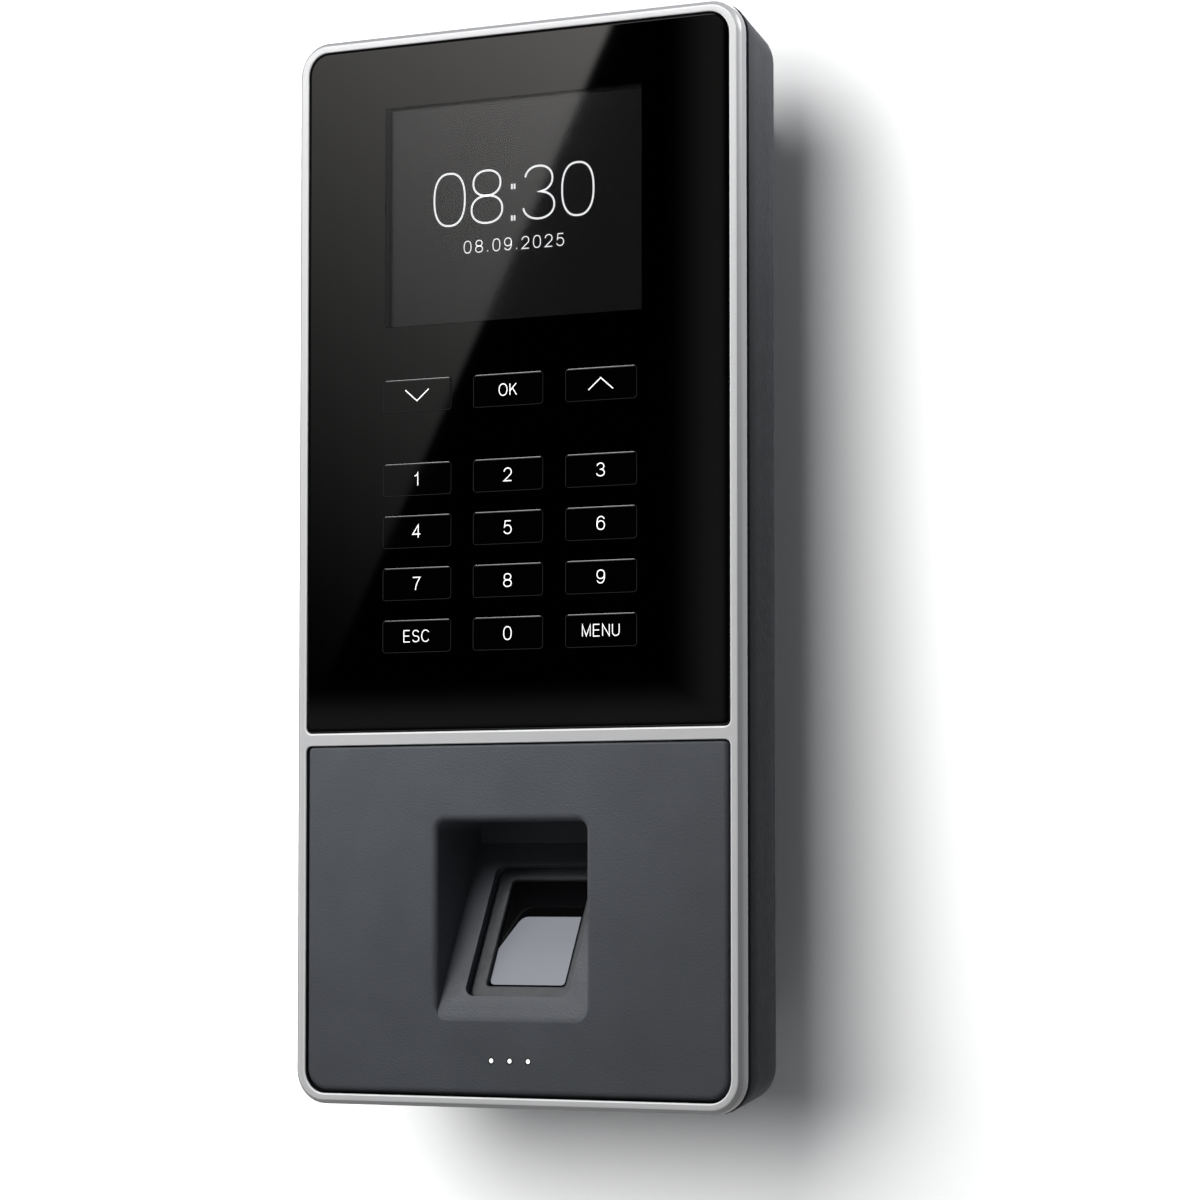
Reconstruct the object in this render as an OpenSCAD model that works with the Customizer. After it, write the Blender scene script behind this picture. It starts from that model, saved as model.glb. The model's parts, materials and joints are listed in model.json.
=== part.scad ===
// Wall-mounted time clock with a keypad, a display and a finger reader, in millimetres.
// The front faces -Y, +Z is up, and the wall is the plane Y = 0.
// The origin is the centre of the wall plate's screw pattern.

/* [Body] */
// Width of the front
body_w = 99; // [92:0.5:112]
// Height of the front
body_h = 208.7; // [202:0.1:230]
// Distance from the front face to the wall
body_depth = 42; // [40:0.5:56]
// Radius of the outer corners, seen from the front
corner_r = 6.5; // [5:0.1:10]

/* [Bezel] */
// Depth of the bezel frame
bezel_depth = 2.8; // [2.4:0.1:4]
// Chamfer round the bezel's front edge
bezel_chamfer = 0.8; // [0.4:0.05:1.2]
// Width of the bezel's face at the sides
bezel_side = 1.5; // [1.2:0.05:3]
// Width of the bezel's face at the top and bottom
bezel_end = 1.25; // [1:0.05:3]
// Height of the crossbar between the two panels
crossbar_h = 2.45; // [1.5:0.05:5]
// Height of the crossbar's centre line
crossbar_z = -33.5; // [-36:0.1:-31]
// Corner radius where the crossbar meets the sides
crossbar_r = 1.2; // [0.6:0.1:3]
// Width of the dark seam between the bezel and the rear housing
seam_w = 0.9; // [0.6:0.05:2]
// How far the seam lies in from the side
seam_inset = 0.7; // [0.3:0.05:1.2]

/* [Panels] */
// How far the panels lie below the bezel's face
panel_inset = 0.3; // [0.1:0.05:0.6]
// Thickness of the panels
panel_t = 2; // [1.4:0.1:2.3]
// Gap between a panel and the bezel
panel_gap = 0.3; // [0.15:0.05:0.6]

/* [Display] */
// Width of the display window
window_w = 57.6; // [50:0.1:62]
// Height of the display window
window_h = 43.2; // [36:0.1:46]
// Place of the window's centre, from side to side
window_x = -0.5; // [-2:0.1:2]
// Share of the upper panel's free height that lies above the display module
display_share = 0.3435; // [0.3:0.0005:0.4]
// Side border of the display module beyond the window
lcd_border_x = 5.8; // [4:0.1:6]
// Top and bottom border of the display module beyond the window
lcd_border_z = 3.4; // [2:0.1:4]
// Thickness of the display module
lcd_t = 3; // [2.5:0.1:4]

/* [Keys] */
// Width of a key
key_w = 15.66; // [13:0.02:17]
// Height of a key
key_h = 6.36; // [5:0.02:7]
// Corner radius of a key
key_r = 0.7; // [0.3:0.05:1.5]
// Gap between a key and its aperture
key_gap = 0.15; // [0.1:0.01:0.3]
// How far a key stands out of the panel
key_proud = 0.12; // [0.05:0.01:0.3]
// How far a key can be pushed in
key_travel = 0.6; // [0.3:0.05:1]
// Distance between key columns
key_pitch_x = 20.6; // [19:0.1:21.5]
// Distance between digit rows
key_pitch_z = 10.17; // [9.6:0.01:10.6]
// Distance from the top digit row up to the function row
function_rise = 16.4; // [12:0.1:17]
// Place of the middle key column
keypad_x = -1.2; // [-2:0.1:2]
// Share of the upper panel's free height that lies below the keypad
keypad_share = 0.49; // [0.4:0.005:0.55]

/* [Finger recess] */
// Width of the recess at the panel's face
recess_w = 33.2; // [31:0.1:36]
// Height of the recess at the panel's face
recess_h = 36.8; // [36:0.1:38]
// Place of the recess's centre, from side to side
recess_x = -0.7; // [-2:0.1:2]
// How far the recess's centre lies above the lower panel's
recess_shift = 0.5; // [-1:0.1:1]
// Corner radius of the recess
recess_r = 2; // [1:0.1:4]
// Depth of the recess at its back, from the bezel's face
recess_depth = 17.1; // [16:0.1:18.5]
// Width of the chamfer round the recess's mouth
recess_lip = 1; // [0.3:0.1:1.4]
// Angle of the ramp from the vertical
ramp_angle = 26.5; // [25:0.5:27]
// Wall of the recess and its ramp
recess_wall = 1.7; // [1.2:0.1:2]

/* [Finger sensor] */
// Width of the sensor's frame
sensor_w = 22.6; // [20:0.1:23.5]
// Length of the sensor's frame along the ramp
sensor_l = 27.6; // [25:0.1:28.5]
// How far the sensor's frame lies below the ramp
sensor_sunk = 1.5; // [0.8:0.1:1.5]
// Width of the sensor's glass
glass_w = 17.5; // [15:0.1:18.5]
// Length of the sensor's glass along the ramp
glass_l = 22.7; // [20:0.1:23.5]
// How far the glass lies below its frame
glass_sunk = 0.8; // [0.3:0.1:1.2]
// Depth of the optical block behind the ramp
sensor_deep = 8.5; // [7.5:0.1:9.5]

/* [Status lights] */
// Distance between the status lights
light_pitch = 4.07; // [3.5:0.01:5]
// Radius of a status light
light_r = 0.55; // [0.4:0.01:0.8]
// Height of the status lights above the lower panel's bottom edge
light_rise = 7; // [6:0.1:8]

/* [Rear housing] */
// Wall of the rear housing
housing_wall = 2; // [1.6:0.1:2.4]
// Depth of the tapered casing behind the seam
tray_depth = 15.8; // [15:0.1:17]
// How far each side draws in towards the back
taper_side = 2.5; // [1:0.1:3.5]
// How far the top draws in towards the back
taper_top = 3.3; // [1:0.1:4]
// How far the bottom draws in towards the back
taper_bottom = 2.1; // [1:0.1:4]
// How far each side of the box behind the casing lies in from the front's side
base_side = 15.5; // [13.5:0.1:16.5]
// How far each end of the box behind the casing lies in from the front's end
base_end = 14.35; // [12.35:0.05:16.35]
// Corner radius of the box
base_r = 4; // [2:0.1:6]
// Wall of the box
base_wall = 1.8; // [1.5:0.1:2.2]

/* [Wall plate] */
// Distance from the wall plate's side to the box's side
plate_side = 4; // [3:0.1:6]
// Distance from the wall plate's end to the box's end
plate_end = 6; // [4:0.1:10]
// Thickness of the wall plate
plate_t = 1.5; // [1:0.1:2]
// Room for the wall screws' heads in front of the plate
screw_room = 5; // [4.5:0.1:6]
// Distance between the wall screws, from side to side
wall_hole_x = 40; // [36:0.5:44]
// Distance between the wall screws, up and down
wall_hole_z = 140; // [130:0.5:144]
// Radius of a wall screw's hole
wall_hole_r = 2.25; // [1.75:0.05:2.75]

/* [Boards] */
// Thickness of the main, keypad and sensor circuit boards
board_t = 1.6; // [1:0.1:1.6]
// Distance from the main board's edge to the side of the front
main_side = 7.5; // [6.5:0.1:9]
// Distance of the main board behind the chassis
main_rise = 7.3; // [6.8:0.1:8]

/* [Sockets] */
// Depth of the network and power sockets, from the port board to their front
socket_t = 11.2; // [10.5:0.1:11.4]
// Width of the network socket
jack_w = 15.9; // [14:0.1:16.5]
// Length of the network socket
jack_l = 17; // [15:0.1:17]
// Width of the power socket
power_w = 9; // [8:0.1:10]
// Length of the power socket
power_l = 14; // [12:0.1:15]
// Width of the USB socket
usb_w = 13.1; // [12:0.1:14]
// Depth of the USB socket
usb_t = 5.7; // [5:0.1:6]
// Length of the USB socket
usb_l = 14; // [12:0.1:15]

/* [Hidden] */
$fn = 48;
// Overlap that lets a cut pass a face cleanly
cut = 1;
// Thickness of a slice that a hull starts from
slice = 0.02;
// Gap of parts that rest on each other without being joined
seat = 0.05;
// Gap between a bonded or nested part and its pocket
nest = 0.1;
// Gap round a part that passes an opening
pass_gap = 0.3;

// Depth stations, counted from the bezel's face towards the wall
panel_back = panel_inset + panel_t;
chassis_back = bezel_depth + seam_w;
chassis_mid = bezel_depth + seam_w / 2;
tray_back = chassis_back + tray_depth;
plate_front = body_depth - plate_t;
base_back = plate_front - screw_room;
skirt_end = body_depth - pass_gap;

// Rear box and wall plate
base_w = body_w - 2 * base_side;
base_h = body_h - 2 * base_end;
plate_w = base_w - 2 * plate_side;
plate_h = base_h - 2 * plate_end;

// Bezel openings
opening_w = body_w - 2 * (bezel_chamfer + bezel_side);
opening_top = body_h / 2 - bezel_chamfer - bezel_end;
opening_r = corner_r - bezel_chamfer - bezel_end;
bar_top = crossbar_z + crossbar_h / 2;
bar_bottom = crossbar_z - crossbar_h / 2;

// Keys, from left to right and from the lowest row up
KEY_NAMES = ["esc", "0", "menu", "7", "8", "9", "4", "5", "6", "1", "2", "3", "down", "ok", "up"];
KEY_COLUMNS = 3;
DIGIT_ROWS = 4;

// Layout of the upper panel, by the height that its two modules leave free
flange_edge = 0.7;
keypad_edge = 1;
pad_edge = flange_edge + keypad_edge;
lcd_h = window_h + 2 * lcd_border_z;
keypad_h = (DIGIT_ROWS - 1) * key_pitch_z + function_rise + key_h + 2 * (pad_edge + keypad_edge);
upper_free = opening_top - bar_top - lcd_h - keypad_h;
window_z = opening_top - upper_free * display_share - lcd_h / 2;
keypad_z = bar_top + upper_free * keypad_share + keypad_edge + pad_edge + key_h / 2;

// Display module
lcd_w = window_w + 2 * lcd_border_x;
lcd_front = panel_back + nest;
lcd_back = lcd_front + lcd_t;
lcd_glass_sunk = 0.2;
lcd_glass_edge = 0.5;
lcd_floor = 1.2;
bracket_t = 1;
bracket_h = 10;
bracket_ear = 4.4;
bracket_x = lcd_w / 2 + bracket_ear;

// Screws: shank radius, head radius, head height
small_screw = [0.95, 1.9, 1.2];
large_screw = [1.4, 2.7, 1.8];
thread_gap = 0.05;
shank_gap = 0.25;
small_boss = 2.2;
board_boss = 2.7;
housing_boss = 3;
blind = 1;

// Keypad
function key_place(i) = [
    keypad_x + (i % KEY_COLUMNS - 1) * key_pitch_x,
    keypad_z + min(floor(i / KEY_COLUMNS), DIGIT_ROWS - 1) * key_pitch_z
        + (floor(i / KEY_COLUMNS) == DIGIT_ROWS ? function_rise : 0)
];
flange_t = 0.7;
flange_front = panel_back + seat;
flange_mid = flange_front + flange_t / 2;
flange_back = flange_front + flange_t;
post_l = 0.5;
post_back = flange_back + post_l;
post_w = 6;
post_h = 3;
dome_front = post_back + key_travel + nest;
dome_r = 2.5;
dome_h = 0.65;
mat_front = dome_front + dome_h;
mat_t = 0.8;
mat_back = mat_front + mat_t;
pad_x = key_pitch_x + key_w / 2 + pad_edge;
pad_low = keypad_z - key_h / 2 - pad_edge;
pad_high = key_place(len(KEY_NAMES) - 1)[1] + key_h / 2 + pad_edge;
pad_boss_x = pad_x + small_boss + pass_gap;
pad_boss_inset = 3;
keypad_board_x = pad_boss_x + small_boss + pass_gap;

// Finger recess: the ramp runs from the lower edge up and in
recess_z = (bar_bottom - opening_top) / 2 + recess_shift;
recess_low = recess_z - recess_h / 2;
recess_high = recess_z + recess_h / 2;
ramp_slope = tan(ramp_angle);
ramp_drop = 0.5;
ramp_start = panel_inset + ramp_drop;
function ramp_depth(z) = ramp_start + (z - recess_low) * ramp_slope;
ramp_top = recess_low + (recess_depth - ramp_start) / ramp_slope;
ramp_back = recess_wall / cos(ramp_angle);
ramp_back_top = ramp_top + (recess_wall - ramp_back) / ramp_slope;

// Sensor, placed a little below the middle of the ramp and measured inwards from its face
sensor_drop = 0.4;
sensor_z = (recess_low + ramp_top) / 2 - sensor_drop;
sensor_flange = 2.4;
sensor_flange_t = 1.6;
sensor_frame_back = recess_wall + sensor_flange_t;
sensor_ear_gap = 0.5;
sensor_ear_front = sensor_frame_back + sensor_ear_gap;
sensor_ear_t = 1.5;
sensor_ear_h = 20;
sensor_screw_x = sensor_w / 2 + sensor_flange + small_boss + nest;
sensor_screw_v = 7;
sensor_body_edge = 1;
sensor_body_w = sensor_w + 2 * sensor_body_edge;
sensor_body_l = sensor_l + 2 * sensor_body_edge;
sensor_back = sensor_frame_back + sensor_deep;
glass_deep = 5;

// Status lights
light_x = recess_x;
light_z = -opening_top + light_rise;
pipe_bar_t = 1.2;
pipe_bar_end = 2.5;
pipe_bar_w = 2 * (light_pitch + pipe_bar_end);
pipe_bar_h = 3;
pipe_bar_back = chassis_back + seat + pipe_bar_t;
led_h = 0.6;
led_w = 1.6;
led_board_front = pipe_bar_back + nest + led_h;
led_board_t = 1.2;
led_board_h = 6;
led_post_r = 1.4;
led_post_gap = 1;
led_post_x = pipe_bar_w / 2 + led_post_r + led_post_gap;
led_stake_r = 0.8;
led_board_end = 2.5;
led_board_w = 2 * (led_post_x + led_board_end);

// Housing screws, in tubes from the casing's back
housing_screw_side = 7.6;
housing_screw_end = 8.6;
housing_screw_x = body_w / 2 - housing_screw_side;
housing_screw_z = body_h / 2 - housing_screw_end;
housing_tube_r = 3.8;
boss_l = 7.3;
boss_end = chassis_back + boss_l;
head_seat = boss_end + housing_wall;
lip_h = 1.5;
lip_t = 1.5;
lip_gap = 0.6;
lip_inset = housing_wall + lip_gap;
rear_edge = 1.2;

// Main board, its screws and what it carries
main_front = chassis_back + main_rise;
main_back = main_front + board_t;
main_w = body_w - 2 * main_side;
main_gap = 3;
main_top = housing_screw_z - housing_tube_r - main_gap;
main_h = main_top - crossbar_z;
main_z = (main_top + crossbar_z) / 2;
main_edge = 3.5;
main_screw_x = main_w / 2 - main_edge;
main_screw_z = main_h / 2 - main_edge;
shield_size = [30, 2.6, 30];
shield_wall = 0.3;
shield_place = [-14, 22];
cell_r = 10;
cell_t = 3.2;
cell_wall = 1.2;
cell_floor = 0.8;
cell_place = [18, 24];
buzzer_r = 8;
buzzer_h = 4;
buzzer_hole_r = 1.5;
buzzer_place = [18, -16];

// Sockets on the port board, in the box's floor
port_board_t = 1.2;
port_board_rise = 1.2;
port_board_back = base_back - base_wall - port_board_rise;
port_board_front = port_board_back - port_board_t;
socket_front = port_board_front - socket_t;
base_low = -base_h / 2;
base_inner_x = base_w / 2 - base_wall;
port_board_gap = 0.5;
port_board_w = 2 * (base_inner_x - port_board_gap);
port_board_h = 22;
port_board_low = base_low + base_wall + port_board_gap;
port_screw_inset = 2.5;
port_screw_x = port_board_w / 2 - port_screw_inset;
port_screw_z = port_board_low + port_board_h - small_screw[1] - port_board_gap;
socket_gap = 0.6;
jack_x = base_inner_x - socket_gap - jack_w / 2;
jack_hole = [11.8, 7.4, 13];
jack_notch = [6, 1.5];
usb_wall = 0.4;
usb_x = -8;
power_x = -(base_inner_x - socket_gap - power_w / 2);
power_hole_r = 3.1;
power_hole_l = 9.5;
power_pin_r = 1;

// Wall plate hooks
hook_x = wall_hole_x / 2;
hook_z = wall_hole_z / 4;
hook_w = 8;
hook_lip = 4;
hook_gap = 0.2;
hook_back = base_back - base_wall - hook_gap;
hook_front = hook_back - plate_t;

// Flat cables between the boards
cable_t = 0.3;
cable_w = 8;
cable_pad = 6;
lcd_cable_rise = 1.6;
keypad_cable_rise = 10;
port_cable_rise = 8;
port_cable_x = -(port_screw_x - small_screw[1] - pass_gap - cable_w / 2);
sensor_cable_v = 10;
sensor_cable_x = usb_x + usb_w / 2 + pass_gap + cable_w / 2;

// Wall plate's outline and the lock screw's tab
plate_r = 3;
tab_w = 14;
tab_depth = base_back + (plate_front - base_back) / 2;
tab_front = base_back + pass_gap;
tab_z = -plate_h / 2;

// Shapes that repeat

// Extrudes a front view, drawn in X and Z, from depth d0 to depth d1.
module at_depth(d0, d1) {
    translate([0, d1 - body_depth, 0]) rotate([90, 0, 0]) linear_extrude(d1 - d0) children();
}

// Extrudes a side view, drawn in depth and Z, across the width.
module across(w, x) {
    translate([x - w / 2, -body_depth, 0]) rotate([90, 0, 90]) linear_extrude(w) children();
}

// A disc seen from the front, or a round pin or hole along the depth.
module round_at(x, z, d0, d1, r) {
    translate([x, d0 - body_depth, z]) rotate([-90, 0, 0]) cylinder(r = r, h = d1 - d0);
}

// A rectangle with round corners, which may differ at the top and the bottom.
module round_rect(w, z0, z1, r_low, r_high) {
    mid = (z0 + z1) / 2;
    translate([-w / 2, z0 + r_low]) square([w, z1 - z0 - r_low - r_high]);
    translate([-w / 2 + r_low, z0]) square([w - 2 * r_low, mid - z0]);
    translate([-w / 2 + r_high, mid]) square([w - 2 * r_high, z1 - mid]);
    for (s = [-1, 1]) {
        translate([s * (w / 2 - r_low), z0 + r_low]) circle(r_low);
        translate([s * (w / 2 - r_high), z1 - r_high]) circle(r_high);
    }
}

module centred_rect(w, h, r) {
    round_rect(w, -h / 2, h / 2, r, r);
}

module plain_rect(x, z, w, h) {
    translate([x - w / 2, z - h / 2]) square([w, h]);
}

// A screw along the depth, with its head's seat at depth d and its tip towards the front.
module screw_at(x, z, d, reach, size) {
    round_at(x, z, d - reach, d + size[2] / 2, size[0]);
    difference() {
        round_at(x, z, d, d + size[2], size[1]);
        translate([x - size[1], d + size[2] / 2 - body_depth, z - size[2] / 6])
            cube([2 * size[1], size[2], size[2] / 3]);
    }
}

// Draws children on the ramp: X across, Y up along it, Z out of its face.
module on_ramp() {
    translate([recess_x, ramp_depth(sensor_z) - body_depth, sensor_z])
        rotate([90 - ramp_angle, 0, 0]) children();
}

// A block on the ramp, from depth n0 to depth n1 below its face.
module ramp_block(w, l, n0, n1) {
    translate([-w / 2, -l / 2, -n1]) cube([w, l, n1 - n0]);
}

module corners(x, z) {
    for (sx = [-1, 1]) for (sz = [-1, 1]) translate([sx * x, 0, sz * z]) children();
}

// Front frame and panels

module upper_opening(gap) {
    round_rect(opening_w - 2 * gap, bar_top + gap, opening_top - gap, crossbar_r, opening_r - gap);
}

module lower_opening(gap) {
    round_rect(opening_w - 2 * gap, -opening_top + gap, bar_bottom - gap, opening_r - gap, crossbar_r);
}

module front_bezel() {
    color("silver") difference() {
        hull() {
            at_depth(0, slice) centred_rect(body_w - 2 * bezel_chamfer, body_h - 2 * bezel_chamfer,
                corner_r - bezel_chamfer, $fn = 32);
            at_depth(bezel_chamfer, bezel_depth) centred_rect(body_w, body_h, corner_r, $fn = 32);
        }
        at_depth(-cut, bezel_depth + cut) upper_opening(0);
        at_depth(-cut, bezel_depth + cut) lower_opening(0);
    }
}

module front_chassis() {
    color("#1b1c1e") difference() {
        union() {
            at_depth(bezel_depth, chassis_back)
                centred_rect(body_w - 2 * seam_inset, body_h - 2 * seam_inset, corner_r - seam_inset);
            at_depth(panel_back, chassis_mid) upper_opening(panel_gap);
            at_depth(panel_back, chassis_mid) lower_opening(panel_gap);
            at_depth(chassis_mid, chassis_back + lip_h) difference() {
                centred_rect(body_w - 2 * lip_inset, body_h - 2 * lip_inset, corner_r - lip_inset);
                centred_rect(body_w - 2 * (lip_inset + lip_t), body_h - 2 * (lip_inset + lip_t),
                    corner_r - lip_inset - lip_t / 2);
            }
            corners(housing_screw_x, housing_screw_z) round_at(0, 0, chassis_mid, boss_end, housing_boss);
            translate([0, 0, main_z]) corners(main_screw_x, main_screw_z)
                round_at(0, 0, chassis_mid, main_front, board_boss);
            for (s = [-1, 1]) {
                round_at(window_x + s * bracket_x, window_z, chassis_mid, lcd_back, small_boss);
                for (z = [pad_low + pad_boss_inset, pad_high - pad_boss_inset])
                    round_at(keypad_x + s * pad_boss_x, z, chassis_mid, mat_back, small_boss);
                round_at(light_x + s * led_post_x, light_z, chassis_mid, led_board_front, led_post_r);
                round_at(light_x + s * led_post_x, light_z, chassis_mid,
                    led_board_front + led_board_t + led_stake_r, led_stake_r);
            }
        }
        at_depth(panel_back - cut, chassis_back + cut) {
            plain_rect(window_x, window_z, lcd_w + 2 * pass_gap, lcd_h + 2 * pass_gap);
            translate([keypad_x - pad_x, pad_low]) square([2 * pad_x, pad_high - pad_low]);
            plain_rect(recess_x, recess_z, recess_w + 2 * (recess_wall + pass_gap),
                recess_h + 2 * (recess_wall + pass_gap));
        }
        for (i = [-1:1]) round_at(light_x + i * light_pitch, light_z, panel_back - cut, chassis_back + cut,
            light_r + nest);
        corners(housing_screw_x, housing_screw_z)
            round_at(0, 0, chassis_back + blind, boss_end + cut, large_screw[0] + thread_gap);
        translate([0, 0, main_z]) corners(main_screw_x, main_screw_z)
            round_at(0, 0, chassis_back + blind, main_front + cut, small_screw[0] + thread_gap);
        for (s = [-1, 1]) {
            round_at(window_x + s * bracket_x, window_z, bezel_depth, lcd_back + cut,
                small_screw[0] + thread_gap);
            for (z = [pad_low + pad_boss_inset, pad_high - pad_boss_inset])
                round_at(keypad_x + s * pad_boss_x, z, bezel_depth, mat_back + cut,
                    small_screw[0] + thread_gap);
        }
    }
}

module front_panel() {
    color("#08080a") difference() {
        at_depth(panel_inset, panel_back) upper_opening(panel_gap);
        at_depth(-cut, panel_back + cut) plain_rect(window_x, window_z, window_w, window_h);
        for (i = [0:len(KEY_NAMES) - 1]) at_depth(-cut, panel_back + cut) translate(key_place(i))
            centred_rect(key_w + 2 * key_gap, key_h + 2 * key_gap, key_r + key_gap);
    }
}

module display_lens() {
    color("#30343a") at_depth(panel_inset, panel_back)
        plain_rect(window_x, window_z, window_w - 2 * seat, window_h - 2 * seat);
}

// Display module and its strap

module lcd_screen() {
    color("#20242a") at_depth(lcd_front + lcd_glass_sunk, lcd_back - lcd_floor)
        plain_rect(window_x, window_z, window_w + 2 * lcd_glass_edge, window_h + 2 * lcd_glass_edge);
}

module lcd_frame() {
    color("#9a9da0") difference() {
        at_depth(lcd_front, lcd_back) plain_rect(window_x, window_z, lcd_w, lcd_h);
        at_depth(lcd_front - cut, lcd_back - lcd_floor) plain_rect(window_x, window_z,
            window_w + 2 * (lcd_glass_edge + nest), window_h + 2 * (lcd_glass_edge + nest));
    }
}

module lcd_bracket() {
    color("#b4b6b8") difference() {
        at_depth(lcd_back, lcd_back + bracket_t)
            plain_rect(window_x, window_z, 2 * (bracket_x + small_boss), bracket_h);
        for (s = [-1, 1]) round_at(window_x + s * bracket_x, window_z, lcd_back - cut,
            lcd_back + bracket_t + cut, small_screw[0] + shank_gap);
    }
}

module lcd_bracket_screws() {
    color("#c8cacc") for (s = [-1, 1]) screw_at(window_x + s * bracket_x, window_z, lcd_back + bracket_t,
        lcd_back + bracket_t - bezel_depth - nest, small_screw);
}

// Keys, their mat and their board

module key(i) {
    color("#0c0c0e") translate([key_place(i)[0], 0, key_place(i)[1]]) {
        at_depth(panel_inset - key_proud, flange_mid) centred_rect(key_w, key_h, key_r);
        at_depth(flange_front, flange_back)
            plain_rect(0, 0, key_w + 2 * flange_edge, key_h + 2 * flange_edge);
        at_depth(flange_mid, post_back) plain_rect(0, 0, post_w, post_h);
    }
}

module keypad_mat() {
    color("#4a4c50") {
        at_depth(mat_front, mat_back) translate([keypad_x - pad_x + pass_gap, pad_low])
            square([2 * (pad_x - pass_gap), pad_high - pad_low]);
        for (i = [0:len(KEY_NAMES) - 1])
            round_at(key_place(i)[0], key_place(i)[1], dome_front, mat_front + mat_t / 2, dome_r);
    }
}

module keypad_board() {
    color("#1f5a3a") difference() {
        at_depth(mat_back, mat_back + board_t) translate([keypad_x - keypad_board_x, pad_low - keypad_edge])
            square([2 * keypad_board_x, pad_high - pad_low + 2 * keypad_edge]);
        keypad_board_corners() round_at(0, 0, mat_back - cut, mat_back + board_t + cut,
            small_screw[0] + shank_gap);
    }
}

module keypad_board_corners() {
    for (s = [-1, 1]) for (z = [pad_low + pad_boss_inset, pad_high - pad_boss_inset])
        translate([keypad_x + s * pad_boss_x, 0, z]) children();
}

module keypad_board_screws() {
    color("#c8cacc") keypad_board_corners()
        screw_at(0, 0, mat_back + board_t, mat_back + board_t - bezel_depth - nest, small_screw);
}

// Lower panel with the finger recess

module lower_panel() {
    tub_w = recess_w + 2 * recess_wall;
    color("#3f434a") difference() {
        union() {
            at_depth(panel_inset, panel_back) lower_opening(panel_gap);
            intersection() {
                at_depth(panel_inset, recess_depth + recess_wall) translate([recess_x, recess_z])
                    centred_rect(tub_w, recess_h + 2 * recess_wall, recess_r + recess_wall);
                across(tub_w, recess_x) polygon([
                    [panel_back - recess_lip, recess_low],
                    [ramp_start + ramp_back, recess_low],
                    [recess_depth + recess_wall, ramp_back_top],
                    [recess_depth + recess_wall, recess_high + recess_wall],
                    [panel_back - recess_lip, recess_high + recess_wall]
                ]);
            }
            on_ramp() for (sx = [-1, 1]) for (sv = [-1, 1])
                translate([sx * sensor_screw_x, sv * sensor_screw_v, -sensor_ear_front])
                    cylinder(r = small_boss, h = sensor_ear_front - recess_wall / 2);
        }
        intersection() {
            at_depth(-cut, recess_depth) translate([recess_x, recess_z])
                centred_rect(recess_w, recess_h, recess_r);
            across(tub_w, recess_x) polygon([
                [-cut, recess_low],
                [ramp_start, recess_low],
                [recess_depth, ramp_top],
                [recess_depth, recess_high],
                [-cut, recess_high]
            ]);
        }
        translate([recess_x, 0, recess_z]) hull() {
            at_depth(panel_inset - slice, panel_inset) centred_rect(
                recess_w + 2 * recess_lip, recess_h + recess_lip, recess_r + recess_lip, $fn = 32);
            at_depth(panel_inset, panel_inset + recess_lip) translate([0, recess_lip / 4])
                centred_rect(recess_w, recess_h - recess_lip / 2, recess_r, $fn = 32);
        }
        on_ramp() {
            ramp_block(sensor_w + 2 * pass_gap, sensor_l + 2 * pass_gap, -cut, recess_wall + cut);
            for (sx = [-1, 1]) for (sv = [-1, 1])
                translate([sx * sensor_screw_x, sv * sensor_screw_v, -sensor_ear_front - cut])
                    cylinder(r = small_screw[0] + thread_gap, h = sensor_ear_front + cut - recess_wall / 2);
        }
        for (i = [-1:1])
            round_at(light_x + i * light_pitch, light_z, -cut, panel_back + cut, light_r + nest);
    }
}

// Finger sensor behind the ramp

module sensor_bezel() {
    color("#33363c") on_ramp() difference() {
        union() {
            ramp_block(sensor_w, sensor_l, sensor_sunk, sensor_frame_back);
            ramp_block(sensor_w + 2 * sensor_flange, sensor_l + 2 * sensor_flange, recess_wall + seat,
                sensor_frame_back);
        }
        ramp_block(glass_w, glass_l, -cut, sensor_frame_back + cut);
    }
}

module sensor_glass() {
    half = glass_l / 2 - seat;
    top = sensor_sunk + glass_sunk;
    color("#7d8694") on_ramp() rotate([90, 0, 90]) translate([0, 0, -glass_w / 2 + seat])
        linear_extrude(glass_w - 2 * seat) polygon([
            [-half, -top], [half, -top], [half, -top - glass_deep / 2],
            [half / 2, -top - glass_deep], [-half / 2, -top - glass_deep], [-half, -top - glass_deep / 2]
        ]);
}

module sensor_body() {
    color("#15161a") on_ramp() difference() {
        union() {
            ramp_block(sensor_body_w, sensor_body_l, sensor_frame_back, sensor_back);
            ramp_block(2 * (sensor_screw_x + small_boss), sensor_ear_h, sensor_ear_front,
                sensor_ear_front + sensor_ear_t);
        }
        ramp_block(glass_w, glass_l, sensor_frame_back - cut, sensor_sunk + glass_sunk + glass_deep + nest);
        for (sx = [-1, 1]) for (sv = [-1, 1])
            translate([sx * sensor_screw_x, sv * sensor_screw_v, -sensor_ear_front - sensor_ear_t - cut])
                cylinder(r = small_screw[0] + shank_gap, h = sensor_ear_t + 2 * cut);
    }
}

module sensor_board() {
    color("#1f5a3a") on_ramp() ramp_block(sensor_body_w, sensor_body_l, sensor_back, sensor_back + board_t);
}

module sensor_screws() {
    seat_n = sensor_ear_front + sensor_ear_t;
    color("#c8cacc") on_ramp() for (sx = [-1, 1]) for (sv = [-1, 1])
        translate([sx * sensor_screw_x, sv * sensor_screw_v, 0]) {
            translate([0, 0, -seat_n - small_screw[2]]) cylinder(r = small_screw[1], h = small_screw[2]);
            translate([0, 0, -seat_n - small_screw[2] / 2])
                cylinder(r = small_screw[0], h = seat_n + small_screw[2] / 2 - recess_wall / 2 - nest);
        }
}

// Status lights

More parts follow.
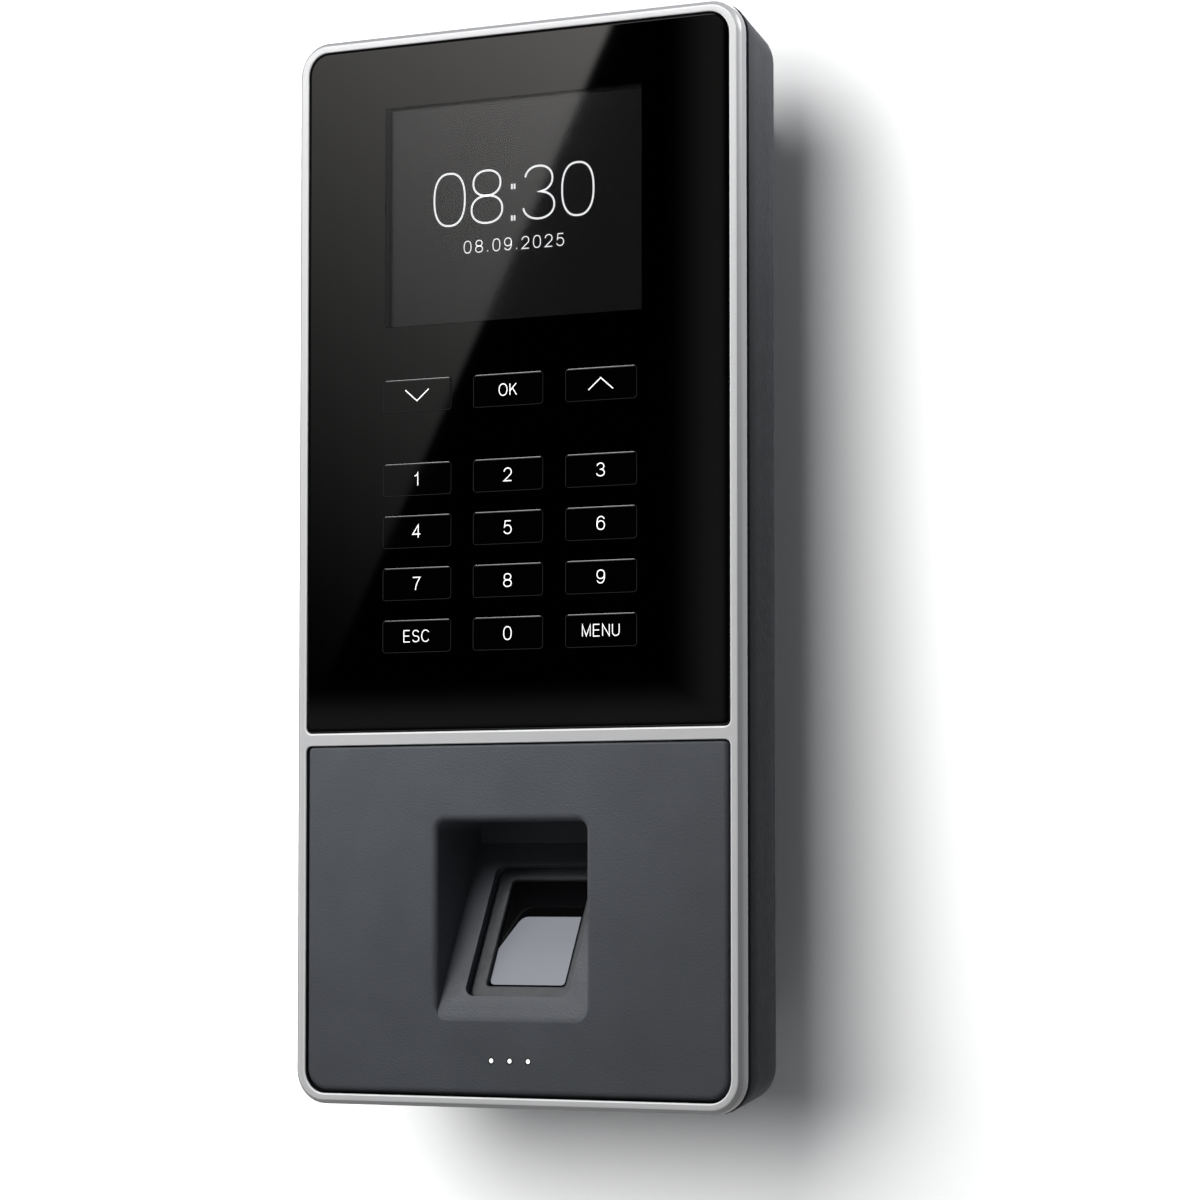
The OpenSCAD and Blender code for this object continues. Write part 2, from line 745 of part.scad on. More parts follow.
module status_light_pipe() {
    color("white") {
        for (i = [-1:1])
            round_at(light_x + i * light_pitch, light_z, panel_inset, pipe_bar_back - pipe_bar_t / 2,
                light_r);
        at_depth(pipe_bar_back - pipe_bar_t, pipe_bar_back)
            plain_rect(light_x, light_z, pipe_bar_w, pipe_bar_h);
    }
}

module status_led_board() {
    color("#1f5a3a") difference() {
        union() {
            at_depth(led_board_front, led_board_front + led_board_t)
                plain_rect(light_x, light_z, led_board_w, led_board_h);
            for (i = [-1:1]) at_depth(led_board_front - led_h, led_board_front + led_board_t / 2)
                plain_rect(light_x + i * light_pitch, light_z, led_w, led_w);
        }
        for (s = [-1, 1]) round_at(light_x + s * led_post_x, light_z, led_board_front - cut,
            led_board_front + led_board_t + cut, led_stake_r + nest);
    }
}

// Main board and what it carries

module main_board() {
    color("#1f5a3a") difference() {
        at_depth(main_front, main_back) plain_rect(0, main_z, main_w, main_h);
        translate([0, 0, main_z]) corners(main_screw_x, main_screw_z)
            round_at(0, 0, main_front - cut, main_back + cut, small_screw[0] + shank_gap);
    }
}

module main_board_screws() {
    color("#c8cacc") translate([0, 0, main_z]) corners(main_screw_x, main_screw_z)
        screw_at(0, 0, main_back, main_back - chassis_back - blind - nest, small_screw);
}

module processor_shield() {
    color("#b9bbbd") translate([shield_place[0], main_back - body_depth, main_z + shield_place[1]])
        difference() {
            translate([-shield_size[0] / 2, 0, -shield_size[2] / 2]) cube(shield_size);
            translate([-shield_size[0] / 2 + shield_wall, -cut, -shield_size[2] / 2 + shield_wall])
                cube([shield_size[0] - 2 * shield_wall, shield_size[1] - shield_wall + cut,
                    shield_size[2] - 2 * shield_wall]);
        }
}

module coin_cell_holder() {
    x = cell_place[0];
    z = main_z + cell_place[1];
    color("#22242a") difference() {
        round_at(x, z, main_back, main_back + cell_floor + cell_t, cell_r + nest + cell_wall);
        round_at(x, z, main_back + cell_floor, main_back + cell_floor + cell_t + cut, cell_r + nest);
        at_depth(main_back + cell_floor, main_back + cell_floor + cell_t + cut)
            plain_rect(x, z, 3 * cell_r, cell_r / 2);
    }
}

module coin_cell() {
    color("#c4c6c8") round_at(cell_place[0], main_z + cell_place[1], main_back + cell_floor,
        main_back + cell_floor + cell_t, cell_r);
}

module buzzer() {
    x = buzzer_place[0];
    z = main_z + buzzer_place[1];
    color("#17181a") difference() {
        round_at(x, z, main_back, main_back + buzzer_h, buzzer_r);
        round_at(x, z, main_back + buzzer_h / 2, main_back + buzzer_h + cut, buzzer_hole_r);
    }
}

// Sockets

module port_board() {
    color("#1f5a3a") difference() {
        at_depth(port_board_front, port_board_back) translate([-port_board_w / 2, port_board_low])
            square([port_board_w, port_board_h]);
        for (s = [-1, 1]) round_at(s * port_screw_x, port_screw_z, port_board_front - cut,
            port_board_back + cut, small_screw[0] + shank_gap);
    }
}

// The screws' heads lie on the board's front, so each is a turned copy of the other screws.
module port_board_screws() {
    color("#c8cacc") for (s = [-1, 1]) {
        round_at(s * port_screw_x, port_screw_z, port_board_front - small_screw[2], port_board_front,
            small_screw[1]);
        round_at(s * port_screw_x, port_screw_z, port_board_front - small_screw[2] / 2,
            base_back - base_wall + blind - nest, small_screw[0]);
    }
}

// A socket block with its mouth in the box's floor.
module socket_block(x, w, d0, d1, l) {
    translate([x - w / 2, d0 - body_depth, base_low]) cube([w, d1 - d0, l]);
}

module ethernet_jack() {
    mid = (socket_front + port_board_front) / 2;
    color("#8f9295") difference() {
        socket_block(jack_x, jack_w, socket_front, port_board_front, jack_l);
        translate([jack_x - jack_hole[0] / 2, mid - jack_hole[1] / 2 - body_depth, base_low - cut])
            cube([jack_hole[0], jack_hole[1], jack_hole[2] + cut]);
        translate([jack_x - jack_notch[0] / 2, mid - jack_hole[1] / 2 - jack_notch[1] - body_depth,
            base_low - cut]) cube([jack_notch[0], jack_notch[1] + cut, jack_hole[2] + cut]);
    }
}

module usb_socket() {
    front = port_board_front - usb_t;
    color("#b9bbbd") {
        difference() {
            socket_block(usb_x, usb_w, front, port_board_front, usb_l);
            translate([usb_x - usb_w / 2 + usb_wall, front + usb_wall - body_depth, base_low - cut])
                cube([usb_w - 2 * usb_wall, usb_t - 2 * usb_wall, usb_l - 2 * usb_wall + cut]);
        }
        translate([usb_x - usb_w / 2 + 2 * usb_wall, front + usb_wall - body_depth,
            base_low + 2 * usb_wall]) cube([usb_w - 4 * usb_wall, usb_t / 3, usb_l - 3 * usb_wall]);
    }
}

module power_jack() {
    mid = (socket_front + port_board_front) / 2;
    color("#17181a") {
        difference() {
            socket_block(power_x, power_w, socket_front, port_board_front, power_l);
            translate([power_x, mid - body_depth, base_low - cut])
                cylinder(r = power_hole_r, h = power_hole_l + cut);
        }
        translate([power_x, mid - body_depth, base_low + cut])
            cylinder(r = power_pin_r, h = power_hole_l);
    }
}

// Flat cables

// A flat cable from a face at depth d0 to a face at depth d1, with its pads up and down from height z.
module flat_cable(x, d0, d1, z) {
    across(cable_w, x) {
        translate([d0, z]) square([cable_t, cable_pad]);
        translate([d0, z]) square([d1 - d0, cable_t]);
        translate([d1 - cable_t, z + cable_t - cable_pad]) square([cable_t, cable_pad]);
    }
}

module lcd_cable() {
    color("#c8853a") flat_cable(window_x, lcd_back, main_front, window_z - lcd_h / 2 + lcd_cable_rise);
}

module keypad_cable() {
    color("#c8853a") flat_cable(keypad_x, mat_back + board_t, main_front, pad_low + keypad_cable_rise);
}

module sensor_cable() {
    start = sensor_back + board_t;
    reach = (port_board_front - ramp_depth(sensor_z) - sensor_cable_v * sin(ramp_angle)) / cos(ramp_angle);
    landing = sensor_z + sensor_cable_v * cos(ramp_angle) - reach * sin(ramp_angle);
    color("#c8853a") {
        difference() {
            on_ramp() translate([sensor_cable_x - recess_x, sensor_cable_v, 0]) {
                ramp_block(cable_w, cable_pad, start, start + cable_t);
                ramp_block(cable_w, cable_t, start, reach + cut);
            }
            at_depth(port_board_front, port_board_front + 2 * cut)
                plain_rect(sensor_cable_x, landing, 2 * cable_w, 2 * cable_pad);
        }
        at_depth(port_board_front - cable_t, port_board_front)
            plain_rect(sensor_cable_x, landing, cable_w, cable_pad);
    }
}

module port_cable() {
    top = crossbar_z + port_cable_rise;
    low = port_board_low + port_board_h - cable_pad;
    color("#c8853a") across(cable_w, port_cable_x) {
        translate([port_board_front - cable_t, low]) square([cable_t, top - low]);
        translate([main_back, top - cable_t]) square([port_board_front - main_back, cable_t]);
        translate([main_back, top - cable_t]) square([cable_t, cable_pad]);
    }
}

// Rear housing and wall plate

// One end of the tapered casing, at depth d, drawn in by a wall.
module casing_slice(d, wall) {
    t = (d - chassis_back) / tray_depth;
    at_depth(d, d + slice) round_rect(
        body_w - 2 * (taper_side * t + wall),
        -body_h / 2 + taper_bottom * t + wall,
        body_h / 2 - taper_top * t - wall,
        corner_r - wall, corner_r - wall, $fn = 32);
}

module casing(d0, d1, wall, edge) {
    hull() {
        casing_slice(d0, wall);
        casing_slice(d1 - edge - slice, wall);
        casing_slice(d1 - slice, wall + edge);
    }
}

module socket_cut(x, w, d0, d1) {
    translate([x - w / 2 - pass_gap, d0 - pass_gap - body_depth, base_low - cut])
        cube([w + 2 * pass_gap, d1 - d0 + pass_gap + nest, base_wall + 2 * cut]);
}

module rear_housing() {
    color("#50545b") difference() {
        union() {
            difference() {
                union() {
                    casing(chassis_back, tray_back, 0, rear_edge);
                    at_depth(tray_back - housing_wall, skirt_end) centred_rect(base_w, base_h, base_r);
                }
                casing(chassis_back - slice, tray_back - housing_wall, housing_wall, 0);
                at_depth(tray_back - housing_wall - cut, base_back - base_wall) base_inside();
                at_depth(base_back, skirt_end + cut) base_inside();
            }
            corners(housing_screw_x, housing_screw_z)
                round_at(0, 0, boss_end, tray_back - housing_wall / 2, housing_tube_r);
            for (s = [-1, 1]) round_at(s * port_screw_x, port_screw_z, port_board_back,
                base_back - base_wall / 2, small_boss);
        }
        corners(housing_screw_x, housing_screw_z) {
            round_at(0, 0, boss_end - cut, head_seat + cut, large_screw[0] + shank_gap);
            round_at(0, 0, head_seat, tray_back + cut, large_screw[1] + pass_gap);
        }
        for (s = [-1, 1]) round_at(s * port_screw_x, port_screw_z, port_board_back - cut,
            base_back - base_wall + blind, small_screw[0] + thread_gap);
        for (sx = [-1, 1]) for (sz = [-1, 1]) at_depth(base_back - base_wall - cut, base_back + cut)
            translate([sx * hook_x - hook_w / 2 - pass_gap, sz * hook_z - hook_lip - 2 * pass_gap])
                square([hook_w + 2 * pass_gap, hook_lip + plate_t + 2 * pass_gap + nest]);
        socket_cut(jack_x, jack_w, socket_front, port_board_front);
        socket_cut(usb_x, usb_w, port_board_front - usb_t, port_board_front);
        socket_cut(power_x, power_w, socket_front, port_board_front);
        translate([0, tab_depth - body_depth, base_low - cut])
            cylinder(r = large_screw[0] + shank_gap, h = base_wall + 2 * cut);
    }
}

module base_inside() {
    centred_rect(base_w - 2 * base_wall, base_h - 2 * base_wall, base_r - base_wall);
}

module housing_screws() {
    color("#c8cacc") corners(housing_screw_x, housing_screw_z)
        screw_at(0, 0, head_seat, head_seat - chassis_back - blind - nest, large_screw);
}

module wall_plate() {
    color("#a9acae") difference() {
        union() {
            at_depth(plate_front, body_depth) centred_rect(plate_w, plate_h, plate_r);
            for (sx = [-1, 1]) for (sz = [-1, 1]) translate([sx * hook_x, 0, sz * hook_z]) {
                at_depth(hook_front, plate_front + cut)
                    translate([-hook_w / 2, 0]) square([hook_w, plate_t]);
                at_depth(hook_front, hook_back)
                    translate([-hook_w / 2, 0]) square([hook_w, plate_t + hook_lip]);
            }
            at_depth(tab_front, plate_front + cut) translate([-tab_w / 2, tab_z])
                square([tab_w, 2 * plate_t]);
        }
        corners(wall_hole_x / 2, wall_hole_z / 2)
            round_at(0, 0, plate_front - cut, body_depth + cut, wall_hole_r);
        translate([0, tab_depth - body_depth, tab_z - cut])
            cylinder(r = large_screw[0] + thread_gap, h = 2 * plate_t + 2 * cut);
    }
}

module lock_screw() {
    color("#c8cacc") translate([0, tab_depth - body_depth, base_low]) {
        translate([0, 0, -large_screw[2]]) cylinder(r = large_screw[1], h = large_screw[2]);
        translate([0, 0, -large_screw[2] / 2])
            cylinder(r = large_screw[0], h = large_screw[2] / 2 + tab_z + 2 * plate_t - base_low);
    }
}

front_bezel();
front_chassis();
front_panel();
display_lens();
lcd_screen();
lcd_frame();
lcd_bracket();
lcd_bracket_screws();
keypad_mat();
keypad_board();
keypad_board_screws();
lower_panel();
sensor_bezel();
sensor_glass();
sensor_body();
sensor_board();
sensor_screws();
status_light_pipe();
status_led_board();
main_board();
main_board_screws();
processor_shield();
coin_cell_holder();
coin_cell();
buzzer();
port_board();
port_board_screws();
ethernet_jack();
usb_socket();
power_jack();
lcd_cable();
keypad_cable();
sensor_cable();
port_cable();
rear_housing();
housing_screws();
wall_plate();
lock_screw();
for (i = [0:len(KEY_NAMES) - 1])
    key(i);
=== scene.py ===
"""Looks of the wall-mounted time clock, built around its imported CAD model."""
import json
import math
from collections import namedtuple

import bmesh
import bpy
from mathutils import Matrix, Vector
from mathutils.geometry import delaunay_2d_cdt


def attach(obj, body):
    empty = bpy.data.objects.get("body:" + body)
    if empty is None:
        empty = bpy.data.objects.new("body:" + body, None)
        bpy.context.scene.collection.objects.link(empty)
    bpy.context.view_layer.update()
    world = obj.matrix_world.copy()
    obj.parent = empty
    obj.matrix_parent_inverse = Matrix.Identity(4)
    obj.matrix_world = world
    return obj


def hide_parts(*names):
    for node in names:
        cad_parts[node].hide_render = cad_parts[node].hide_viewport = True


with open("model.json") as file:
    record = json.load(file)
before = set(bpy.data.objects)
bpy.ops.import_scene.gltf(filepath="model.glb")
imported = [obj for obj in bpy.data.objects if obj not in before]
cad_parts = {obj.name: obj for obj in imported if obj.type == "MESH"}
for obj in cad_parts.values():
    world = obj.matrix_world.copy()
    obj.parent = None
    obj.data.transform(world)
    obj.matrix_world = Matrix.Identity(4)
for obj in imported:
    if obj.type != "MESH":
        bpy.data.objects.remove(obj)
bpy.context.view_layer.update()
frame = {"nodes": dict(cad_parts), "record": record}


# Rounded rectangles, in millimetres, with radii for their lower and their upper corners

MM = 0.001
TINY = 0.02
Rect = namedtuple("Rect", "left right low high low_r high_r")


def centred(w, h, r, x=0.0, z=0.0):
    """A rounded rectangle round a point."""
    return Rect(x - w / 2, x + w / 2, z - h / 2, z + h / 2, r, r)


def grow(rect, edge):
    """The same rounded rectangle, larger by an edge all round."""
    return Rect(rect.left - edge, rect.right + edge, rect.low - edge, rect.high + edge,
                max(rect.low_r + edge, TINY), max(rect.high_r + edge, TINY))


def lift(rect, rise):
    """The same rounded rectangle, moved up."""
    return rect._replace(low=rect.low + rise, high=rect.high + rise)


# Sizes that more than one piece needs, as the CAD model has them; depths count from the bezel's face

BODY_DEPTH = 42.0
CORNER_R, OPENING_R, CROSSBAR_R = 6.5, 4.45, 1.2
BODY = Rect(-49.5, 49.5, -104.35, 104.35, CORNER_R, CORNER_R)
UPPER_OPENING = Rect(-47.2, 47.2, -32.275, 102.3, CROSSBAR_R, OPENING_R)
LOWER_OPENING = Rect(-47.2, 47.2, -102.3, -34.725, OPENING_R, CROSSBAR_R)
WINDOW = Rect(-29.3, 28.3, 46.8, 90.0, TINY, TINY)
PANEL_FRONT, PANEL_BACK = 0.3, 2.3
SCREEN_FRONT = 2.6
DIGIT_ROWS = (("esc", "0", "menu"), ("7", "8", "9"), ("4", "5", "6"), ("1", "2", "3"))
FUNCTION_ROW = ("down", "ok", "up")
KEYPAD_X, KEYPAD_Z = -1.2, -13.7
KEY_PITCH_X, KEY_PITCH_Z, FUNCTION_RISE = 20.6, 10.17, 16.4
KEY_W, KEY_H, KEY_R = 15.66, 6.36, 0.7
RAMP_ANGLE = math.radians(26.5)
SENSOR_AT = (-0.7, 8.75, -70.466)
SENSOR_W, SENSOR_L = 22.6, 27.6
LIGHT_X, LIGHT_Z, LIGHT_PITCH, LIGHT_R = -0.7, -95.3, 4.07, 0.55
LIGHTS = (-1, 0, 1)


def key_places():
    """Centres of the keys by name, from the lowest row up."""
    rises = [row * KEY_PITCH_Z for row in range(len(DIGIT_ROWS))]
    rises.append(rises[-1] + FUNCTION_RISE)
    return {name: (KEYPAD_X + (column - 1) * KEY_PITCH_X, KEYPAD_Z + rise)
            for names, rise in zip((*DIGIT_ROWS, FUNCTION_ROW), rises) for column, name in enumerate(names)}


KEYS = key_places()


def key_outline(name, edge, r):
    """Outline of a key's face, larger by an edge all round."""
    return centred(KEY_W + 2 * edge, KEY_H + 2 * edge, r, *KEYS[name])


def light_disc(number, r):
    """A circle round one of the status lights."""
    return centred(2 * r, 2 * r, r, LIGHT_X + number * LIGHT_PITCH, LIGHT_Z)


# Points

CORNER_STEPS = 8
QUARTER = math.radians(90)


def at(x, d, z):
    """A point by its place across, its depth behind the bezel's face and its height."""
    return Vector((x * MM, (d - BODY_DEPTH) * MM, z * MM))


def on_ramp(u, v, n):
    """A point by its place across the ramp, its way up it and its depth below the ramp's face."""
    s, c = math.sin(RAMP_ANGLE), math.cos(RAMP_ANGLE)
    x, d, z = SENSOR_AT
    return at(x + u, d + v * s + n * c, z + v * c - n * s)


def quarter_turn(steps, start=0):
    """Angles of a quarter turn, from a start in degrees."""
    return [math.radians(start + 90 * i / steps) for i in range(steps + 1)]


def rim_points(rect):
    """Points round a rounded rectangle, from its lower right corner."""
    x0, x1, z0, z1, low, high = rect
    corners = ((x1 - low, z0 + low, low, -90), (x1 - high, z1 - high, high, 0),
               (x0 + high, z1 - high, high, 90), (x0 + low, z0 + low, low, 180))
    return [(x + r * math.cos(a), z + r * math.sin(a))
            for x, z, r, start in corners for a in quarter_turn(CORNER_STEPS, start)]


# Meshes

SHARP_ANGLE, SHARP_STROKE_ANGLE = math.radians(40), math.radians(30)
JOIN_DISTANCE = 0.006
FILL_INSIDE, FILL_PRECISION = 1, 1e-8


class Solid:
    """Gathers rings of points into a closed mesh."""

    def __init__(self):
        self.bm = bmesh.new()
        self.flats = []

    def ring(self, points):
        return [self.bm.verts.new(p) for p in points]

    def flat(self, rect, d):
        """A ring round a rounded rectangle that faces the front."""
        return self.ring([at(x, d, z) for x, z in rim_points(rect)])

    def ramp(self, rect, n):
        """A ring round a rounded rectangle that lies along the ramp."""
        return self.ring([on_ramp(u, v, n) for u, v in rim_points(rect)])

    def loft(self, rings, closed=False):
        """Skins neighbouring rings and gives back each band's faces."""
        pairs = list(zip(rings, rings[1:]))
        if closed:
            pairs.append((rings[-1], rings[0]))
        bands = []
        for a, b in pairs:
            turns = [(i, (i + 1) % len(a)) for i in range(len(a))]
            bands.append([self.bm.faces.new((a[i], a[j], b[j], b[i])) for i, j in turns])
        return bands

    def cap(self, ring):
        self.flats.append(self.bm.faces.new(ring))

    def plug(self, rings):
        """Skins rings and closes both ends."""
        self.loft(rings)
        self.cap(rings[0])
        self.cap(rings[-1])

    def block(self, rect, front, back):
        """A straight block from one depth to another."""
        self.plug([self.flat(rect, d) for d in (front, back)])

    def sheet(self, *rings):
        """A flat face inside the first ring, with the other rings as round-cornered holes."""
        verts = [vert for ring in rings for vert in ring]
        owner = [number for number, ring in enumerate(rings) for vert in ring]
        edges = []
        for ring in rings:
            first = verts.index(ring[0])
            edges += [(first + i, first + (i + 1) % len(ring)) for i in range(len(ring))]
        places = [Vector((vert.co.x, vert.co.z)) for vert in verts]
        _, _, triangles, sources, _, _ = delaunay_2d_cdt(places, edges, [], FILL_INSIDE, FILL_PRECISION)
        for triangle in triangles:
            corners = [sources[i][0] for i in triangle]
            owners = {owner[i] for i in corners}
            if len(owners) > 1 or 0 in owners:
                self.flats.append(self.bm.faces.new([verts[i] for i in corners]))

    def piece(self, name):
        """Joins points that meet and makes the mesh an object."""
        bmesh.ops.remove_doubles(self.bm, verts=self.bm.verts, dist=JOIN_DISTANCE * MM)
        return self.loose_piece(name, SHARP_ANGLE)

    def loose_piece(self, name, sharp):
        """Makes the mesh an object, smooth except at its flat faces and sharp edges."""
        bmesh.ops.recalc_face_normals(self.bm, faces=self.bm.faces)
        for face in self.bm.faces:
            face.smooth = True
        for face in self.flats:
            if face.is_valid:
                face.smooth = False
        for edge in self.bm.edges:
            edge.smooth = edge.calc_face_angle(0) < sharp
        mesh = bpy.data.meshes.new(name)
        self.bm.to_mesh(mesh)
        self.bm.free()
        return add_object(name, mesh)


def add_object(name, data):
    """Puts a mesh, a lamp or a camera into the scene."""
    thing = bpy.data.objects.new(name, data)
    bpy.context.scene.collection.objects.link(thing)
    return thing


def cut(piece, cutter):
    """Takes the cutter's shape out of a piece and removes the cutter."""
    modifier = piece.modifiers.new("cut", "BOOLEAN")
    modifier.operation = "DIFFERENCE"
    modifier.solver = "EXACT"
    modifier.object = cutter
    graph = bpy.context.evaluated_depsgraph_get()
    mesh = bpy.data.meshes.new_from_object(piece.evaluated_get(graph))
    piece.modifiers.clear()
    whole = piece.data
    piece.data = mesh
    bpy.data.meshes.remove(whole)
    mesh.name = piece.name
    bpy.data.objects.remove(cutter)


def soften(piece, width, segments, angle=40):
    """Rounds the edges of a piece that are sharper than an angle in degrees."""
    modifier = piece.modifiers.new("soft_edges", "BEVEL")
    modifier.width = width * MM
    modifier.segments = segments
    modifier.limit_method = "ANGLE"
    modifier.angle_limit = math.radians(angle)
    return modifier


def soften_above(piece, height, width, segments, angle):
    """Rounds only the sharp edges that lie above a height."""
    bm = bmesh.new()
    bm.from_mesh(piece.data)
    weight = bm.edges.layers.float.new("bevel_weight_edge")
    for edge in bm.edges:
        sharp = edge.calc_face_angle(0) > math.radians(angle)
        above = min(vert.co.z for vert in edge.verts) > height * MM
        edge[weight] = 1.0 if sharp and above else 0.0
    bm.to_mesh(piece.data)
    bm.free()
    soften(piece, width, segments).limit_method = "WEIGHT"


# Materials; the scale of a texture counts its waves in a metre

NOISE_LOW, NOISE_HIGH = 0.3, 0.7
MOTTLE_SCALE, MOULD_ROUGH_SPREAD, MOULD_GRAIN_HEIGHT, MOULD_GRAIN_SHARE = 90, 0.05, 0.16, 0.4
SMEAR_SCALE, SMEAR_LOW, SMEAR_HIGH = 35, 0.7, 1.5
TARNISH_SCALE, METAL_ROUGH_SPREAD, METAL_GRAIN_HEIGHT = 140, 0.06, 0.02
GLOW_BASE, GLOW_ROUGH, GLOW_SPECULAR = 0.6, 0.12, 0.1
FLICKER_SCALE, FLICKER = 900, 0.03


def new_material(name, colour, rough, **values):
    material = bpy.data.materials.new(name)
    material.use_nodes = True
    tree = material.node_tree
    shader = tree.nodes["Principled BSDF"]
    shader.inputs["Base Color"].default_value = (*colour, 1)
    shader.inputs["Roughness"].default_value = rough
    for key, value in values.items():
        shader.inputs[key.replace("_", " ")].default_value = value
    return material, tree, shader


def noise(tree, scale, detail, stretch=(1, 1, 1)):
    """A noise texture in the piece's own space."""
    place = tree.nodes.new("ShaderNodeTexCoord")
    spread = tree.nodes.new("ShaderNodeMapping")
    spread.inputs["Scale"].default_value = stretch
    texture = tree.nodes.new("ShaderNodeTexNoise")
    texture.inputs["Scale"].default_value = scale
    texture.inputs["Detail"].default_value = detail
    tree.links.new(place.outputs["Object"], spread.inputs["Vector"])
    tree.links.new(spread.outputs["Vector"], texture.inputs["Vector"])
    return texture.outputs["Fac"]


def vary(tree, source, socket, low, high):
    """Drives a number from a texture, between two levels."""
    span = tree.nodes.new("ShaderNodeMapRange")
    span.inputs["From Min"].default_value = NOISE_LOW
    span.inputs["From Max"].default_value = NOISE_HIGH
    span.inputs["To Min"].default_value = low
    span.inputs["To Max"].default_value = high
    tree.links.new(source, span.inputs["Value"])
    tree.links.new(span.outputs["Result"], socket)


def scaled(colour, factor):
    return tuple(c * factor for c in colour)


def tint(tree, source, shader, colour, spread):
    """Drives the base colour from a texture, a little darker and lighter than a colour."""
    ramp = tree.nodes.new("ShaderNodeValToRGB")
    dark, light = ramp.color_ramp.elements
    dark.position, light.position = NOISE_LOW, NOISE_HIGH
    dark.color = (*scaled(colour, 1 - spread), 1)
    light.color = (*scaled(colour, 1 + spread), 1)
    tree.links.new(source, ramp.inputs["Fac"])
    tree.links.new(ramp.outputs["Color"], shader.inputs["Base Color"])


def bump(tree, source, shader, strength, height):
    node = tree.nodes.new("ShaderNodeBump")
    node.inputs["Strength"].default_value = strength
    node.inputs["Distance"].default_value = height * MM
    tree.links.new(source, node.inputs["Height"])
    tree.links.new(node.outputs["Normal"], shader.inputs["Normal"])


def moulded(name, colour, rough, grain, strength, spread=0.06, **values):
    """Moulded plastic with a fine spark-eroded grain."""
    material, tree, shader = new_material(name, colour, rough, **values)
    tint(tree, noise(tree, MOTTLE_SCALE, detail=2), shader, colour, spread)
    vary(tree, noise(tree, grain * MOULD_GRAIN_SHARE, detail=2), shader.inputs["Roughness"],
         rough - MOULD_ROUGH_SPREAD, rough + MOULD_ROUGH_SPREAD)
    bump(tree, noise(tree, grain, detail=2), shader, strength, MOULD_GRAIN_HEIGHT)
    return material


def polished(name, colour, rough, **values):
    """Polished plastic or glass, with faint smears in its gloss."""
    material, tree, shader = new_material(name, colour, rough, **values)
    vary(tree, noise(tree, SMEAR_SCALE, detail=4), shader.inputs["Roughness"],
         rough * SMEAR_LOW, rough * SMEAR_HIGH)
    return material


def metal(name, colour, rough, grain, stretch=(1, 1, 1), strength=0.08, spread=0.04, metallic=1.0):
    """Metal or metal paint with a fine grain, which a stretch draws out into brush marks."""
    material, tree, shader = new_material(name, colour, rough, Metallic=metallic)
    tint(tree, noise(tree, TARNISH_SCALE, detail=3), shader, colour, spread)
    vary(tree, noise(tree, grain, detail=2, stretch=stretch), shader.inputs["Roughness"],
         rough - METAL_ROUGH_SPREAD, rough + METAL_ROUGH_SPREAD)
    bump(tree, noise(tree, grain, detail=2, stretch=stretch), shader, strength, METAL_GRAIN_HEIGHT)
    return material


def glowing(name, colour, strength):
    """A lit surface, a little uneven as a real light guide is."""
    material, tree, shader = new_material(name, scaled(colour, GLOW_BASE), GLOW_ROUGH,
                                          Specular_IOR_Level=GLOW_SPECULAR)
    shader.inputs["Emission Color"].default_value = (*colour, 1)
    vary(tree, noise(tree, FLICKER_SCALE, detail=2), shader.inputs["Emission Strength"],
         strength * (1 - FLICKER), strength * (1 + FLICKER))
    return material


BEZEL_GRAIN = {"grain": 5200, "spread": 0.012}
SILVER = metal("bezel_silver", (0.71, 0.71, 0.715), 0.42, strength=0.04, metallic=0.15, **BEZEL_GRAIN)
# A darker copy of the bezel's silver: painted shade for its outer chamfer and side, which are the same paint
# as the face.
SILVER_PAINTED_SHADE = metal("bezel_chamfer", (0.32, 0.32, 0.325), 0.4, strength=0.04, metallic=0.25, **BEZEL_GRAIN)
# A lighter copy of the bezel's silver: a painted highlight along the inner edges of its openings.
SILVER_PAINTED_HIGHLIGHT = metal("bezel_edge_painted_highlight", (0.9, 0.9, 0.905), 0.35, strength=0.02, metallic=0.0, **BEZEL_GRAIN)
CHARCOAL = moulded("charcoal_plastic", (0.094, 0.1, 0.112), 0.5, 2400, 0.55, Specular_IOR_Level=0.18)
HOUSING = moulded("housing_grey", (0.06, 0.063, 0.067), 0.62, 1300, 0.7, Specular_IOR_Level=0.06)
CARRIER = moulded("carrier_black", (0.012, 0.012, 0.013), 0.6, 3000, 0.2)
GLOSS = polished("panel_gloss_black", (0.0015, 0.0015, 0.0017), 0.02, IOR=1.5)
KEY_GLOSS = polished("key_gloss_black", (0.0015, 0.0015, 0.0017), 0.03, IOR=1.5)
WINDOW_GLASS = polished("clear_window", (0.95, 0.95, 0.96), 0.02, IOR=1.36, Transmission_Weight=1.0)
SCREEN = glowing("screen_lit", (0.0065, 0.0065, 0.0068), 1.0)
LIT_WHITE = glowing("lit_white", (1.0, 1.0, 1.0), 0.9)
SENSOR_FRAME = moulded("sensor_frame", (0.042, 0.046, 0.051), 0.45, 1800, 0.3, Specular_IOR_Level=0.3)
SENSOR_DARK = polished("sensor_prism", (0.002, 0.002, 0.0025), 0.05, IOR=1.5)
